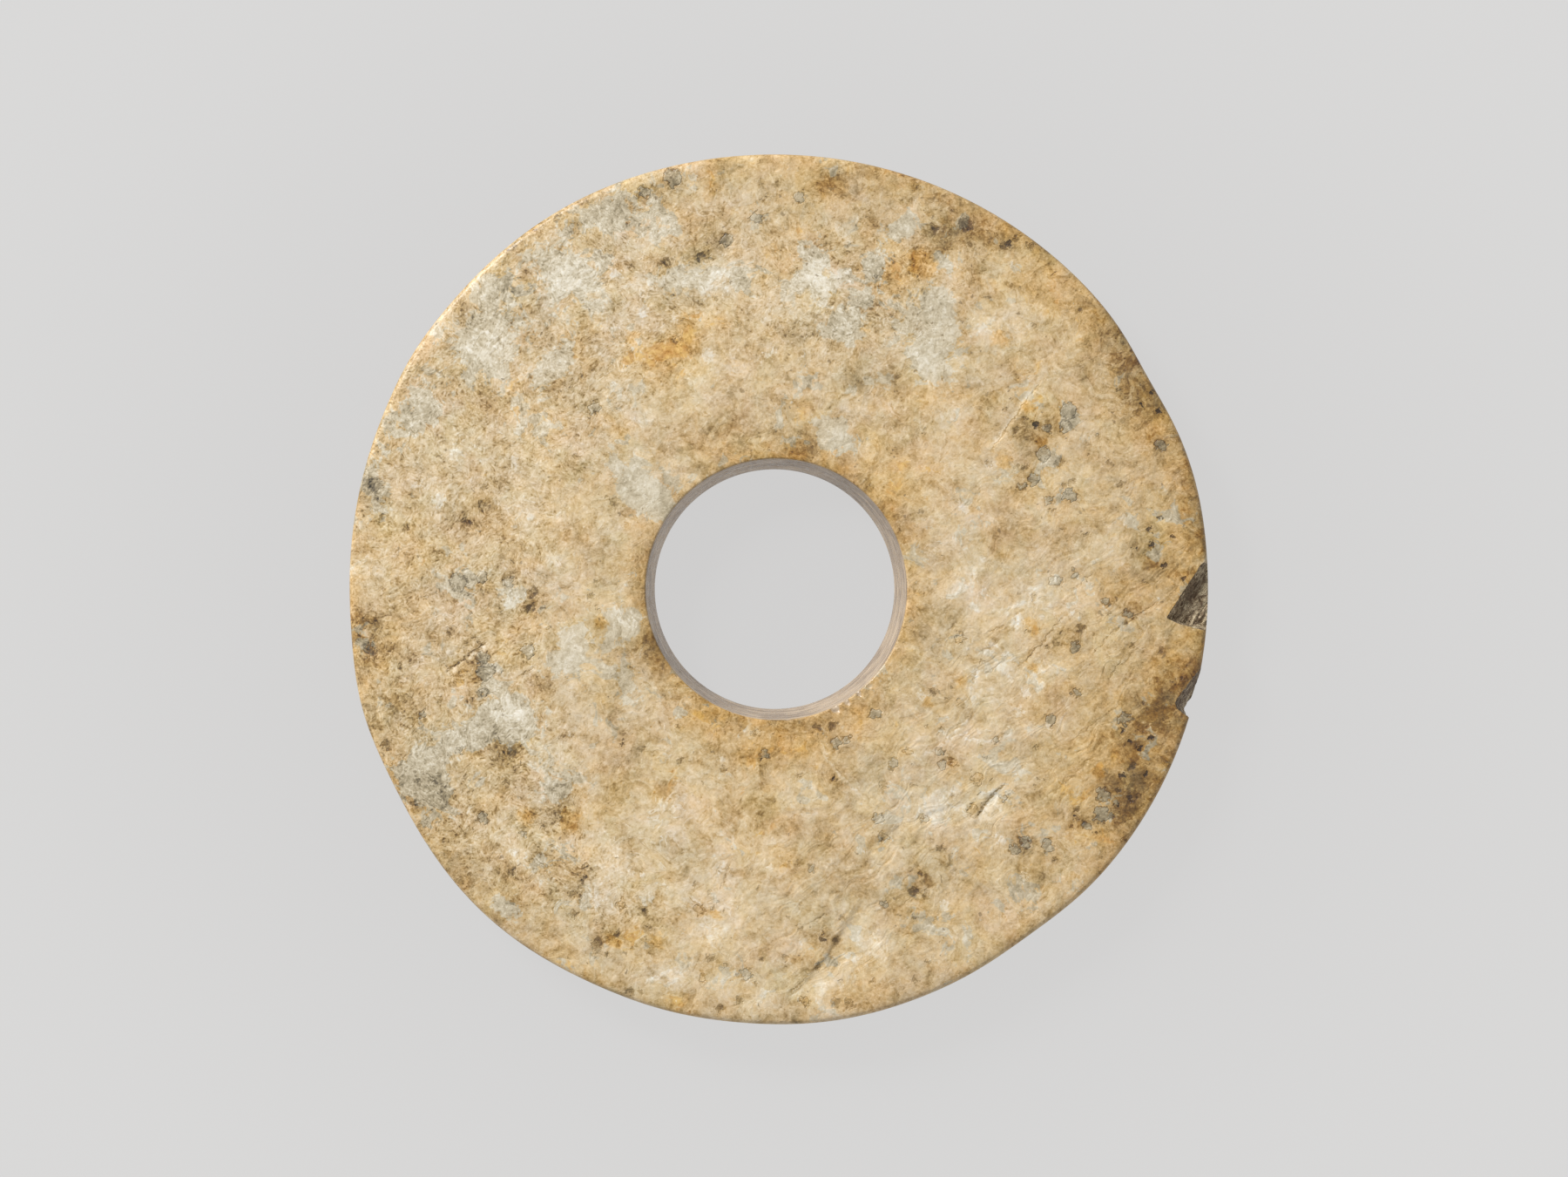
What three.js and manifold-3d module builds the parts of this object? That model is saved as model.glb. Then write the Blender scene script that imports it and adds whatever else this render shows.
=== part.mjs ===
// A jade bi: one flat ring of pale, weathered nephrite, ground round by hand and drilled through
// its middle. It lies flat on its underside. Its rim has two old flakes missing, and its upper face
// has the shallow scars of the saw and of flakes that came away with the grain.
// Millimetres, +Z up. The origin is on the surface it lies on, under the middle of its outline.

import * as THREE from 'three';
import { ConvexGeometry } from 'three/addons/geometries/ConvexGeometry.js';
import { mergeVertices } from 'three/addons/utils/BufferGeometryUtils.js';
import Module from 'manifold-3d';

// Driving dimensions.
const thickness = 11;
const rimRadius = 88.45;        // the round that the hand-ground swells stand out from
const rollWidth = 5;            // how far in from the rim the upper face starts to fall away
const rollDrop = 0.5;           // how far the upper face has fallen where the rim's edge begins
const upperEdge = 1.1;          // rounding of the rim's upper edge
const lowerEdge = 0.8;          // rounding of the rim's lower edge
const wallBulge = 0.3;          // how far the rim's wall stands out at half height
const boreEdge = 0.4;           // rounding of the bore's two mouths
const roundSteps = 160;         // facets round the disc
const curveSteps = 3;           // facets across each rounded edge

// The bore was drilled from the upper face by a tube that wore narrower and drifted a little.
const boreMouth = { radius: 27.4, x: -0.6, y: 0.2 };
const boreFoot = { radius: 25.2, x: -1.0, y: 0.25 };

// The outline isn't a true circle: each swell or flat is a direction in degrees from +X, half the
// angle that it spreads over, and how far it stands out.
const outlineSwells = [
  { toward: 116, spread: 80, height: 3.1 },     // the long swell of the whole upper side
  { toward: 120, spread: 17, height: 0.55 },
  { toward: 147, spread: 7, height: 0.35 },
  { toward: 196, spread: 9, height: 1.0 },      // blunt corner on the left
  { toward: 230, spread: 23, height: 2.9 },     // lower left corner
  { toward: 255, spread: 11, height: 0.9 },
  { toward: 274, spread: 17, height: 1.6 },
  { toward: 306, spread: 8, height: -0.7 },     // flat, lower right
  { toward: 318, spread: 55, height: 1.6 },
  { toward: 13, spread: 8, height: 0.25 },
  { toward: 30, spread: 7, height: -0.9 },      // flat, upper right
  { toward: 42, spread: 46, height: 0.6 },
];

// Flakes knocked off the rim, each the convex block that is missing. The corners are places on the
// disc as x and y from its middle, and heights over the surface that it lies on.
const missingFlakes = {
  // A three-sided flake: a steep cliff on its upper left, a floor that falls towards the rim.
  wedge: [
    [80.9, -5.9, 11.2], [82.5, -6.6, 9.2], [83.6, -7.2, 11.2],
    [88.4, 5.6, 11.2], [90.0, 4.4, 8.3], [93.0, 9.0, 11.2], [93.0, 5.0, 8.0],
    [89.8, -9.0, 11.2], [90.2, -7.8, 7.6], [93.0, -9.2, 11.2], [93.0, -8.0, 7.3],
  ],
  // A long sliver off the edge: a slanting wall that ends below in a sharp corner of the rim.
  sliver: [
    [89.6, -14.2, 11.2], [82.8, -23.6, 11.2], [83.3, -25.0, 11.2],
    [88.9, -18.0, 3.5], [85.6, -25.2, -0.5], [86.5, -27.3, 11.2], [86.5, -27.3, -0.5],
    [95.0, -14.0, 11.2], [95.0, -18.0, 3.5], [95.0, -27.3, 11.2], [95.0, -27.3, -0.5],
  ],
};

// Shallow scars of the upper face: the middle of each, the way that it runs in degrees from +X,
// its length and width at the face, and its depth.
const faceScars = [
  { x: 10.5, y: -76.5, runs: 42, length: 34, width: 6.5, depth: 0.7 },    // the long saw trough
  { x: 43.5, y: -44.5, runs: 40, length: 15, width: 4.2, depth: 0.6 },    // the sharp flake scar
  { x: 34.0, y: -47.5, runs: 20, length: 11, width: 5.0, depth: 0.45 },
  { x: 23.5, y: -53.0, runs: 45, length: 13, width: 4.5, depth: 0.45 },
  { x: 49.6, y: 36.4, runs: 55, length: 19, width: 2.2, depth: 0.3 },     // the slender gouge
];

const jade = new THREE.MeshStandardMaterial({ color: 0xc7b08a, roughness: 0.45, metalness: 0 });

const radians = THREE.MathUtils.degToRad;

// The outline's radius in a direction, from the swells that reach that far round.
function outlineRadius(direction) {
  let radius = rimRadius;
  for (const { toward, spread, height } of outlineSwells) {
    const away = THREE.MathUtils.euclideanModulo(direction - toward + 180, 360) - 180;
    radius += height * Math.exp(-((away / spread) ** 2));
  }
  return radius;
}

// The ring's half-section at the nominal radii, once round and back to where it starts: along the
// underside, up the rim, in over the upper face and down the bore.
function ringSection() {
  const wallTop = thickness - rollDrop - upperEdge;
  const section = new THREE.Path();
  section.moveTo(boreFoot.radius + boreEdge, 0);
  section.lineTo(rimRadius - wallBulge - lowerEdge, 0);
  section.quadraticCurveTo(rimRadius - wallBulge, 0, rimRadius - wallBulge, lowerEdge);
  section.quadraticCurveTo(rimRadius + wallBulge, thickness / 2, rimRadius - wallBulge, wallTop);
  const rollEnd = new THREE.Vector2(rimRadius - wallBulge - upperEdge, thickness - rollDrop);
  section.quadraticCurveTo(rimRadius - wallBulge, rollEnd.y, rollEnd.x, rollEnd.y);
  section.quadraticCurveTo(rimRadius - rollWidth / 2, thickness, rimRadius - rollWidth, thickness);
  section.lineTo(boreMouth.radius + boreEdge, thickness);
  section.quadraticCurveTo(boreMouth.radius, thickness, boreMouth.radius, thickness - boreEdge);
  section.lineTo(boreFoot.radius, boreEdge);
  section.quadraticCurveTo(boreFoot.radius, 0, boreFoot.radius + boreEdge, 0);
  return section.getPoints(curveSteps);
}

// The ring with its hand-ground outline. Each point keeps its share of the way from the bore to
// the rim, so the rim takes the swells and the bore takes its drift.
function groundRing() {
  const ring = new THREE.LatheGeometry(ringSection(), roundSteps);
  ring.rotateX(Math.PI / 2);
  const place = ring.attributes.position;
  for (let i = 0; i < place.count; i += 1) {
    const radius = Math.hypot(place.getX(i), place.getY(i));
    const turn = Math.atan2(place.getY(i), place.getX(i));
    const height = place.getZ(i);
    const share = (radius - boreFoot.radius) / (rimRadius - boreFoot.radius);
    const ground = radius + share * (outlineRadius(THREE.MathUtils.radToDeg(turn)) - rimRadius);
    const driftX = THREE.MathUtils.lerp(boreFoot.x, boreMouth.x, height / thickness);
    const driftY = THREE.MathUtils.lerp(boreFoot.y, boreMouth.y, height / thickness);
    place.setX(i, ground * Math.cos(turn) + (1 - share) * driftX);
    place.setY(i, ground * Math.sin(turn) + (1 - share) * driftY);
  }
  return ring;
}

// An ellipsoid that cuts the upper face in an oval of the scar's length, width and depth.
function scarCutter({ x, y, runs, length, width, depth }) {
  const tall = 4 * depth;
  const rise = tall - depth;
  const spreadAtFace = Math.sqrt(1 - (rise / tall) ** 2);
  const cutter = new THREE.SphereGeometry(1, 20, 14);
  cutter.rotateX(Math.PI / 2);
  cutter.scale(length / 2 / spreadAtFace, width / 2 / spreadAtFace, tall);
  cutter.rotateZ(radians(runs));
  cutter.translate(x, y, thickness + rise);
  return cutter;
}

function flakeCutter(corners) {
  return new ConvexGeometry(corners.map((corner) => new THREE.Vector3(...corner)));
}

const library = await Module();
library.setup();

// A closed geometry as a solid that can be cut.
function solidOf(geometry) {
  const bare = geometry.clone();
  bare.deleteAttribute('normal');
  bare.deleteAttribute('uv');
  const closed = mergeVertices(bare);
  return new library.Manifold(new library.Mesh({
    numProp: 3,
    vertProperties: new Float32Array(closed.attributes.position.array),
    triVerts: new Uint32Array(closed.index.array),
  }));
}

// A solid's surface as a geometry, with flat facets.
function geometryOf(solid) {
  const surface = solid.getMesh();
  const geometry = new THREE.BufferGeometry();
  geometry.setAttribute('position', new THREE.BufferAttribute(surface.vertProperties, 3));
  geometry.setIndex(new THREE.BufferAttribute(surface.triVerts, 1));
  geometry.computeVertexNormals();
  return geometry;
}

let stone = solidOf(groundRing());
for (const corners of Object.values(missingFlakes)) {
  stone = stone.subtract(solidOf(flakeCutter(corners)));
}
for (const scar of faceScars) {
  stone = stone.subtract(solidOf(scarCutter(scar)));
}

const disc = new THREE.Mesh(geometryOf(stone), jade);
disc.name = 'bi_disc';

// The middle of the outline goes over the origin.
disc.geometry.computeBoundingBox();
const middle = disc.geometry.boundingBox.getCenter(new THREE.Vector3());
disc.geometry.translate(-middle.x, -middle.y, 0);

const jadeBi = new THREE.Group();
jadeBi.name = 'jade_bi';
jadeBi.add(disc);

export default jadeBi;
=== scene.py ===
import math

import bmesh
import bpy
import numpy as np
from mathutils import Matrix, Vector, noise


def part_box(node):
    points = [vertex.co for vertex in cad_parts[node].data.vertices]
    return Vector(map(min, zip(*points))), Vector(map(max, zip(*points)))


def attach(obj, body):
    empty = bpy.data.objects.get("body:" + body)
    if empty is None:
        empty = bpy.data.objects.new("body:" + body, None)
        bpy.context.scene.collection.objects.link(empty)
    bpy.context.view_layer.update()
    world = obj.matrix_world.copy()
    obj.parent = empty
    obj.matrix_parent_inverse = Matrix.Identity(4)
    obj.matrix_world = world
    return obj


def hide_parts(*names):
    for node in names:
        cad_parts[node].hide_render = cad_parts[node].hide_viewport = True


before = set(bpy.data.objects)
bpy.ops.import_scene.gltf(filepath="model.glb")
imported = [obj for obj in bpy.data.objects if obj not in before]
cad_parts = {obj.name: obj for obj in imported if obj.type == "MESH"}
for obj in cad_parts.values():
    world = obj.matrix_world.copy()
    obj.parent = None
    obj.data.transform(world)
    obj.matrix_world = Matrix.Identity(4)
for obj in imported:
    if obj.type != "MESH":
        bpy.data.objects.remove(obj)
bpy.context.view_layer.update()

mm = 0.001


# ---------------------------------------------------------------------------------------------
# The ground ring. One slab of nephrite, sawn flat, ground round by hand and drilled from its
# upper face with a tube, which wore narrower and drifted as it went down. It is made as a
# section that is spun into a ring, and then given the swells and flats of its outline.
# ---------------------------------------------------------------------------------------------
disc_low, disc_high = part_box("bi_disc")
thickness = disc_high.z - disc_low.z
rim_radius = 88.45 * mm
bore_mouth = {"radius": 27.4 * mm, "x": -0.6 * mm, "y": 0.2 * mm}
bore_foot = {"radius": 25.2 * mm, "x": -1.0 * mm, "y": 0.25 * mm}
roll_width = 4 * mm
roll_drop = 0.4 * mm
rim_edge = 0.9 * mm
bore_edge = 0.4 * mm
wall_bulge = 0.3 * mm

# Direction in degrees from +X, half the angle that the swell or flat spreads over, and height.
outline_swells = [
    (116, 80, 3.1), (120, 17, 0.55), (147, 7, 0.35), (196, 9, 1.0), (230, 23, 2.9), (255, 11, 0.9),
    (274, 17, 1.6), (306, 8, -0.7), (318, 55, 1.6), (13, 8, 0.25), (30, 7, -0.9), (42, 46, 0.6),
]


def edit(piece):
    """Opens a piece alone for editing, with nothing selected."""
    bpy.ops.object.select_all(action="DESELECT")
    piece.select_set(True)
    bpy.context.view_layer.objects.active = piece
    bpy.ops.object.mode_set(mode="EDIT")
    bpy.ops.mesh.select_all(action="DESELECT")


def pick(piece, kind, wanted):
    """Selects the verts, edges or faces of the open piece whose middle passes the test."""
    bpy.ops.mesh.select_mode(type={"verts": "VERT", "edges": "EDGE", "faces": "FACE"}[kind])
    mesh = bmesh.from_edit_mesh(piece.data)
    for part in getattr(mesh, kind):
        middle = part.co if kind == "verts" else sum((v.co for v in part.verts), Vector()) / len(part.verts)
        part.select_set(bool(wanted(middle)))
    mesh.select_flush_mode()
    bmesh.update_edit_mesh(piece.data)


def finish_edit():
    bpy.ops.object.mode_set(mode="OBJECT")


bpy.ops.object.select_all(action="DESELECT")
section_width = rim_radius - bore_mouth["radius"]
section_middle = (rim_radius + bore_mouth["radius"]) / 2
bpy.ops.mesh.primitive_plane_add(
    size=1, rotation=(math.pi / 2, 0, 0), location=(section_middle, 0, thickness / 2)
)
disc = bpy.context.object
disc.name = "jade_disc"
disc.scale = (section_width, thickness, 1)
bpy.ops.object.transform_apply(location=True, rotation=True, scale=True)
edit(disc)
pick(disc, "verts", lambda p: p.x > section_middle)
bpy.ops.mesh.bevel(affect="VERTICES", offset=rim_edge, segments=5)
pick(disc, "verts", lambda p: p.x < section_middle)
bpy.ops.mesh.bevel(affect="VERTICES", offset=bore_edge, segments=3)
bpy.ops.mesh.select_all(action="SELECT")
bpy.ops.mesh.delete(type="ONLY_FACE")
edge_of_section = {
    "upper face": (lambda p: p.z > thickness - 1e-6, 74),
    "underside": (lambda p: p.z < 1e-6, 24),
    "rim": (lambda p: p.x > rim_radius - 1e-6, 9),
    "bore": (lambda p: p.x < bore_mouth["radius"] + 1e-6, 9),
}
for on_side, cuts in edge_of_section.values():
    pick(disc, "edges", on_side)
    bpy.ops.mesh.subdivide(number_cuts=cuts)
bpy.ops.mesh.select_all(action="SELECT")
bpy.ops.mesh.spin(steps=480, angle=2 * math.pi, center=(0, 0, 0), axis=(0, 0, 1))
bpy.ops.mesh.select_all(action="SELECT")
bpy.ops.mesh.remove_doubles(threshold=0.001 * mm)
bpy.ops.mesh.select_all(action="SELECT")
bpy.ops.mesh.normals_make_consistent(inside=False)
finish_edit()


def points_of(piece):
    places = np.empty(len(piece.data.vertices) * 3)
    piece.data.vertices.foreach_get("co", places)
    return places.reshape(-1, 3)


def move_points(piece, places):
    piece.data.vertices.foreach_set("co", np.asarray(places, float).ravel())
    piece.data.update()


def outline(direction):
    """The outline's radius in directions given in degrees."""
    radius = np.full_like(direction, rim_radius)
    for toward, spread, height in outline_swells:
        away = (direction - toward + 180) % 360 - 180
        radius += height * mm * np.exp(-((away / spread) ** 2))
    return radius


def smooth(low, high, value):
    """0 below low, 1 above high, and an even curve between."""
    share = np.clip((value - low) / (high - low), 0, 1)
    return share * share * (3 - 2 * share)


def grind_round(piece):
    """Gives the spun ring its hand-ground outline, its tapered bore and its rounded-off rim."""
    x, y, z = points_of(piece).T
    radius = np.hypot(x, y)
    turn = np.arctan2(y, x)
    share = (radius - bore_mouth["radius"]) / section_width
    up = z / thickness
    bore_radius = bore_foot["radius"] + up * (bore_mouth["radius"] - bore_foot["radius"])
    drift_x = bore_foot["x"] + up * (bore_mouth["x"] - bore_foot["x"])
    drift_y = bore_foot["y"] + up * (bore_mouth["y"] - bore_foot["y"])
    bulge = wall_bulge * (1 - 4 * up * (1 - up))
    rim = outline(np.degrees(turn)) - bulge
    around = (1 - share) * bore_radius + share * rim
    from_rim = (1 - share) * (rim - bore_radius)
    z = z - roll_drop * np.clip(1 - from_rim / roll_width, 0, 1) ** 3 * smooth(0.5, 1, up)
    x = around * np.cos(turn) + (1 - share) * drift_x
    y = around * np.sin(turn) + (1 - share) * drift_y
    middle_x = (x.max() + x.min()) / 2
    middle_y = (y.max() + y.min()) / 2
    move_points(piece, np.column_stack([x - middle_x, y - middle_y, z]))


grind_round(disc)

# The mesh is finer where the scars and the gouge are cut: middle x, y, half length, half width, way.
fine_zones = [
    (9, -77, 19, 6.5, 47), (44, -44.5, 8.5, 5, 45), (35, -48, 7, 4, 20), (24, -56, 10, 4.5, 45),
    (49.8, 36.4, 10.5, 1.8, 55), (-65.4, -14.3, 6, 1.5, 36), (43, -12, 10, 5, 40), (84, -1, 7, 8, 60),
    (85.5, -20, 8, 6, 60), (14, -25, 7, 3, 35),
]


def turned(x, y, runs):
    """How far along and how far across the way that runs so many degrees from +X a place lies."""
    turn = math.radians(runs)
    return x * math.cos(turn) + y * math.sin(turn), y * math.cos(turn) - x * math.sin(turn)


def in_fine_zone(place):
    for middle_x, middle_y, half_length, half_width, runs in fine_zones:
        along, across = turned(place.x / mm - middle_x, place.y / mm - middle_y, runs)
        if place.z > 0.9 * thickness and (along / half_length) ** 2 + (across / half_width) ** 2 < 1:
            return True
    return False


edit(disc)
pick(disc, "faces", in_fine_zone)
bpy.ops.mesh.subdivide(number_cuts=2)
finish_edit()


# ---------------------------------------------------------------------------------------------
# The two flakes that are missing from the rim. Each is the convex block that came away: it is
# cut finely, roughened along the grain of the stone, and taken out of the ring.
# ---------------------------------------------------------------------------------------------
missing_flakes = {
    "wedge": [
        (80.9, -5.9, 11.2), (82.5, -6.6, 9.2), (83.6, -7.2, 11.2),
        (88.4, 5.6, 11.2), (90.0, 4.4, 8.3), (93.0, 9.0, 11.2), (93.0, 5.0, 8.0),
        (89.8, -9.0, 11.2), (90.2, -7.8, 7.6), (93.0, -9.2, 11.2), (93.0, -8.0, 7.3),
    ],
    "sliver": [
        (89.6, -14.2, 11.2), (82.8, -23.6, 11.2), (83.3, -25.0, 11.2),
        (88.9, -18.0, 3.5), (85.6, -25.2, -0.5), (86.5, -27.3, 11.2), (86.5, -27.3, -0.5),
        (95.0, -14.0, 11.2), (95.0, -18.0, 3.5), (95.0, -27.3, 11.2), (95.0, -27.3, -0.5),
    ],
}
break_runs = 56  # the way of the grain in the two breaks, in degrees from +X


def flake(name, corners):
    """The block that came away, as a finely cut solid with the grain's steps on it."""
    mesh = bpy.data.meshes.new(name)
    mesh.from_pydata([Vector(corner) * mm for corner in corners], [], [])
    block = bpy.data.objects.new(name, mesh)
    bpy.context.collection.objects.link(block)
    edit(block)
    bpy.ops.mesh.select_all(action="SELECT")
    bpy.ops.mesh.convex_hull()
    for cuts in (3, 3, 1):
        bpy.ops.mesh.select_all(action="SELECT")
        bpy.ops.mesh.subdivide(number_cuts=cuts)
    bpy.ops.mesh.select_all(action="SELECT")
    bpy.ops.mesh.quads_convert_to_tris()
    bpy.ops.mesh.select_all(action="SELECT")
    bpy.ops.mesh.normals_make_consistent(inside=False)
    finish_edit()
    places = points_of(block) / mm
    across = turned(places[:, 0], places[:, 1], break_runs)[1]
    for i, place in enumerate(places):
        along = Vector((across[i] * 1.6, (place[0] + place[1]) * 0.18, place[2] * 0.5))
        step = noise.fractal(along, 1.0, 2.0, 4)
        crumb = noise.fractal(Vector(place) * 1.3, 0.8, 2.0, 4)
        places[i, 2] += 0.35 * step + 0.12 * crumb if place[2] < thickness / mm else 0
        places[i, 0] += 0.18 * crumb
    move_points(block, places * mm)
    return block


disc.data.attributes.new("broken", "FLOAT", "FACE")
for name, corners in missing_flakes.items():
    block = flake(name, corners)
    fresh = block.data.attributes.new("broken", "FLOAT", "FACE")
    fresh.data.foreach_set("value", np.ones(len(block.data.polygons)))
    bpy.ops.object.select_all(action="DESELECT")
    disc.select_set(True)
    bpy.context.view_layer.objects.active = disc
    cut = disc.modifiers.new("break", "BOOLEAN")
    cut.object = block
    cut.solver = "EXACT"
    bpy.ops.object.modifier_apply(modifier="break")
    bpy.data.objects.remove(block)


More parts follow.
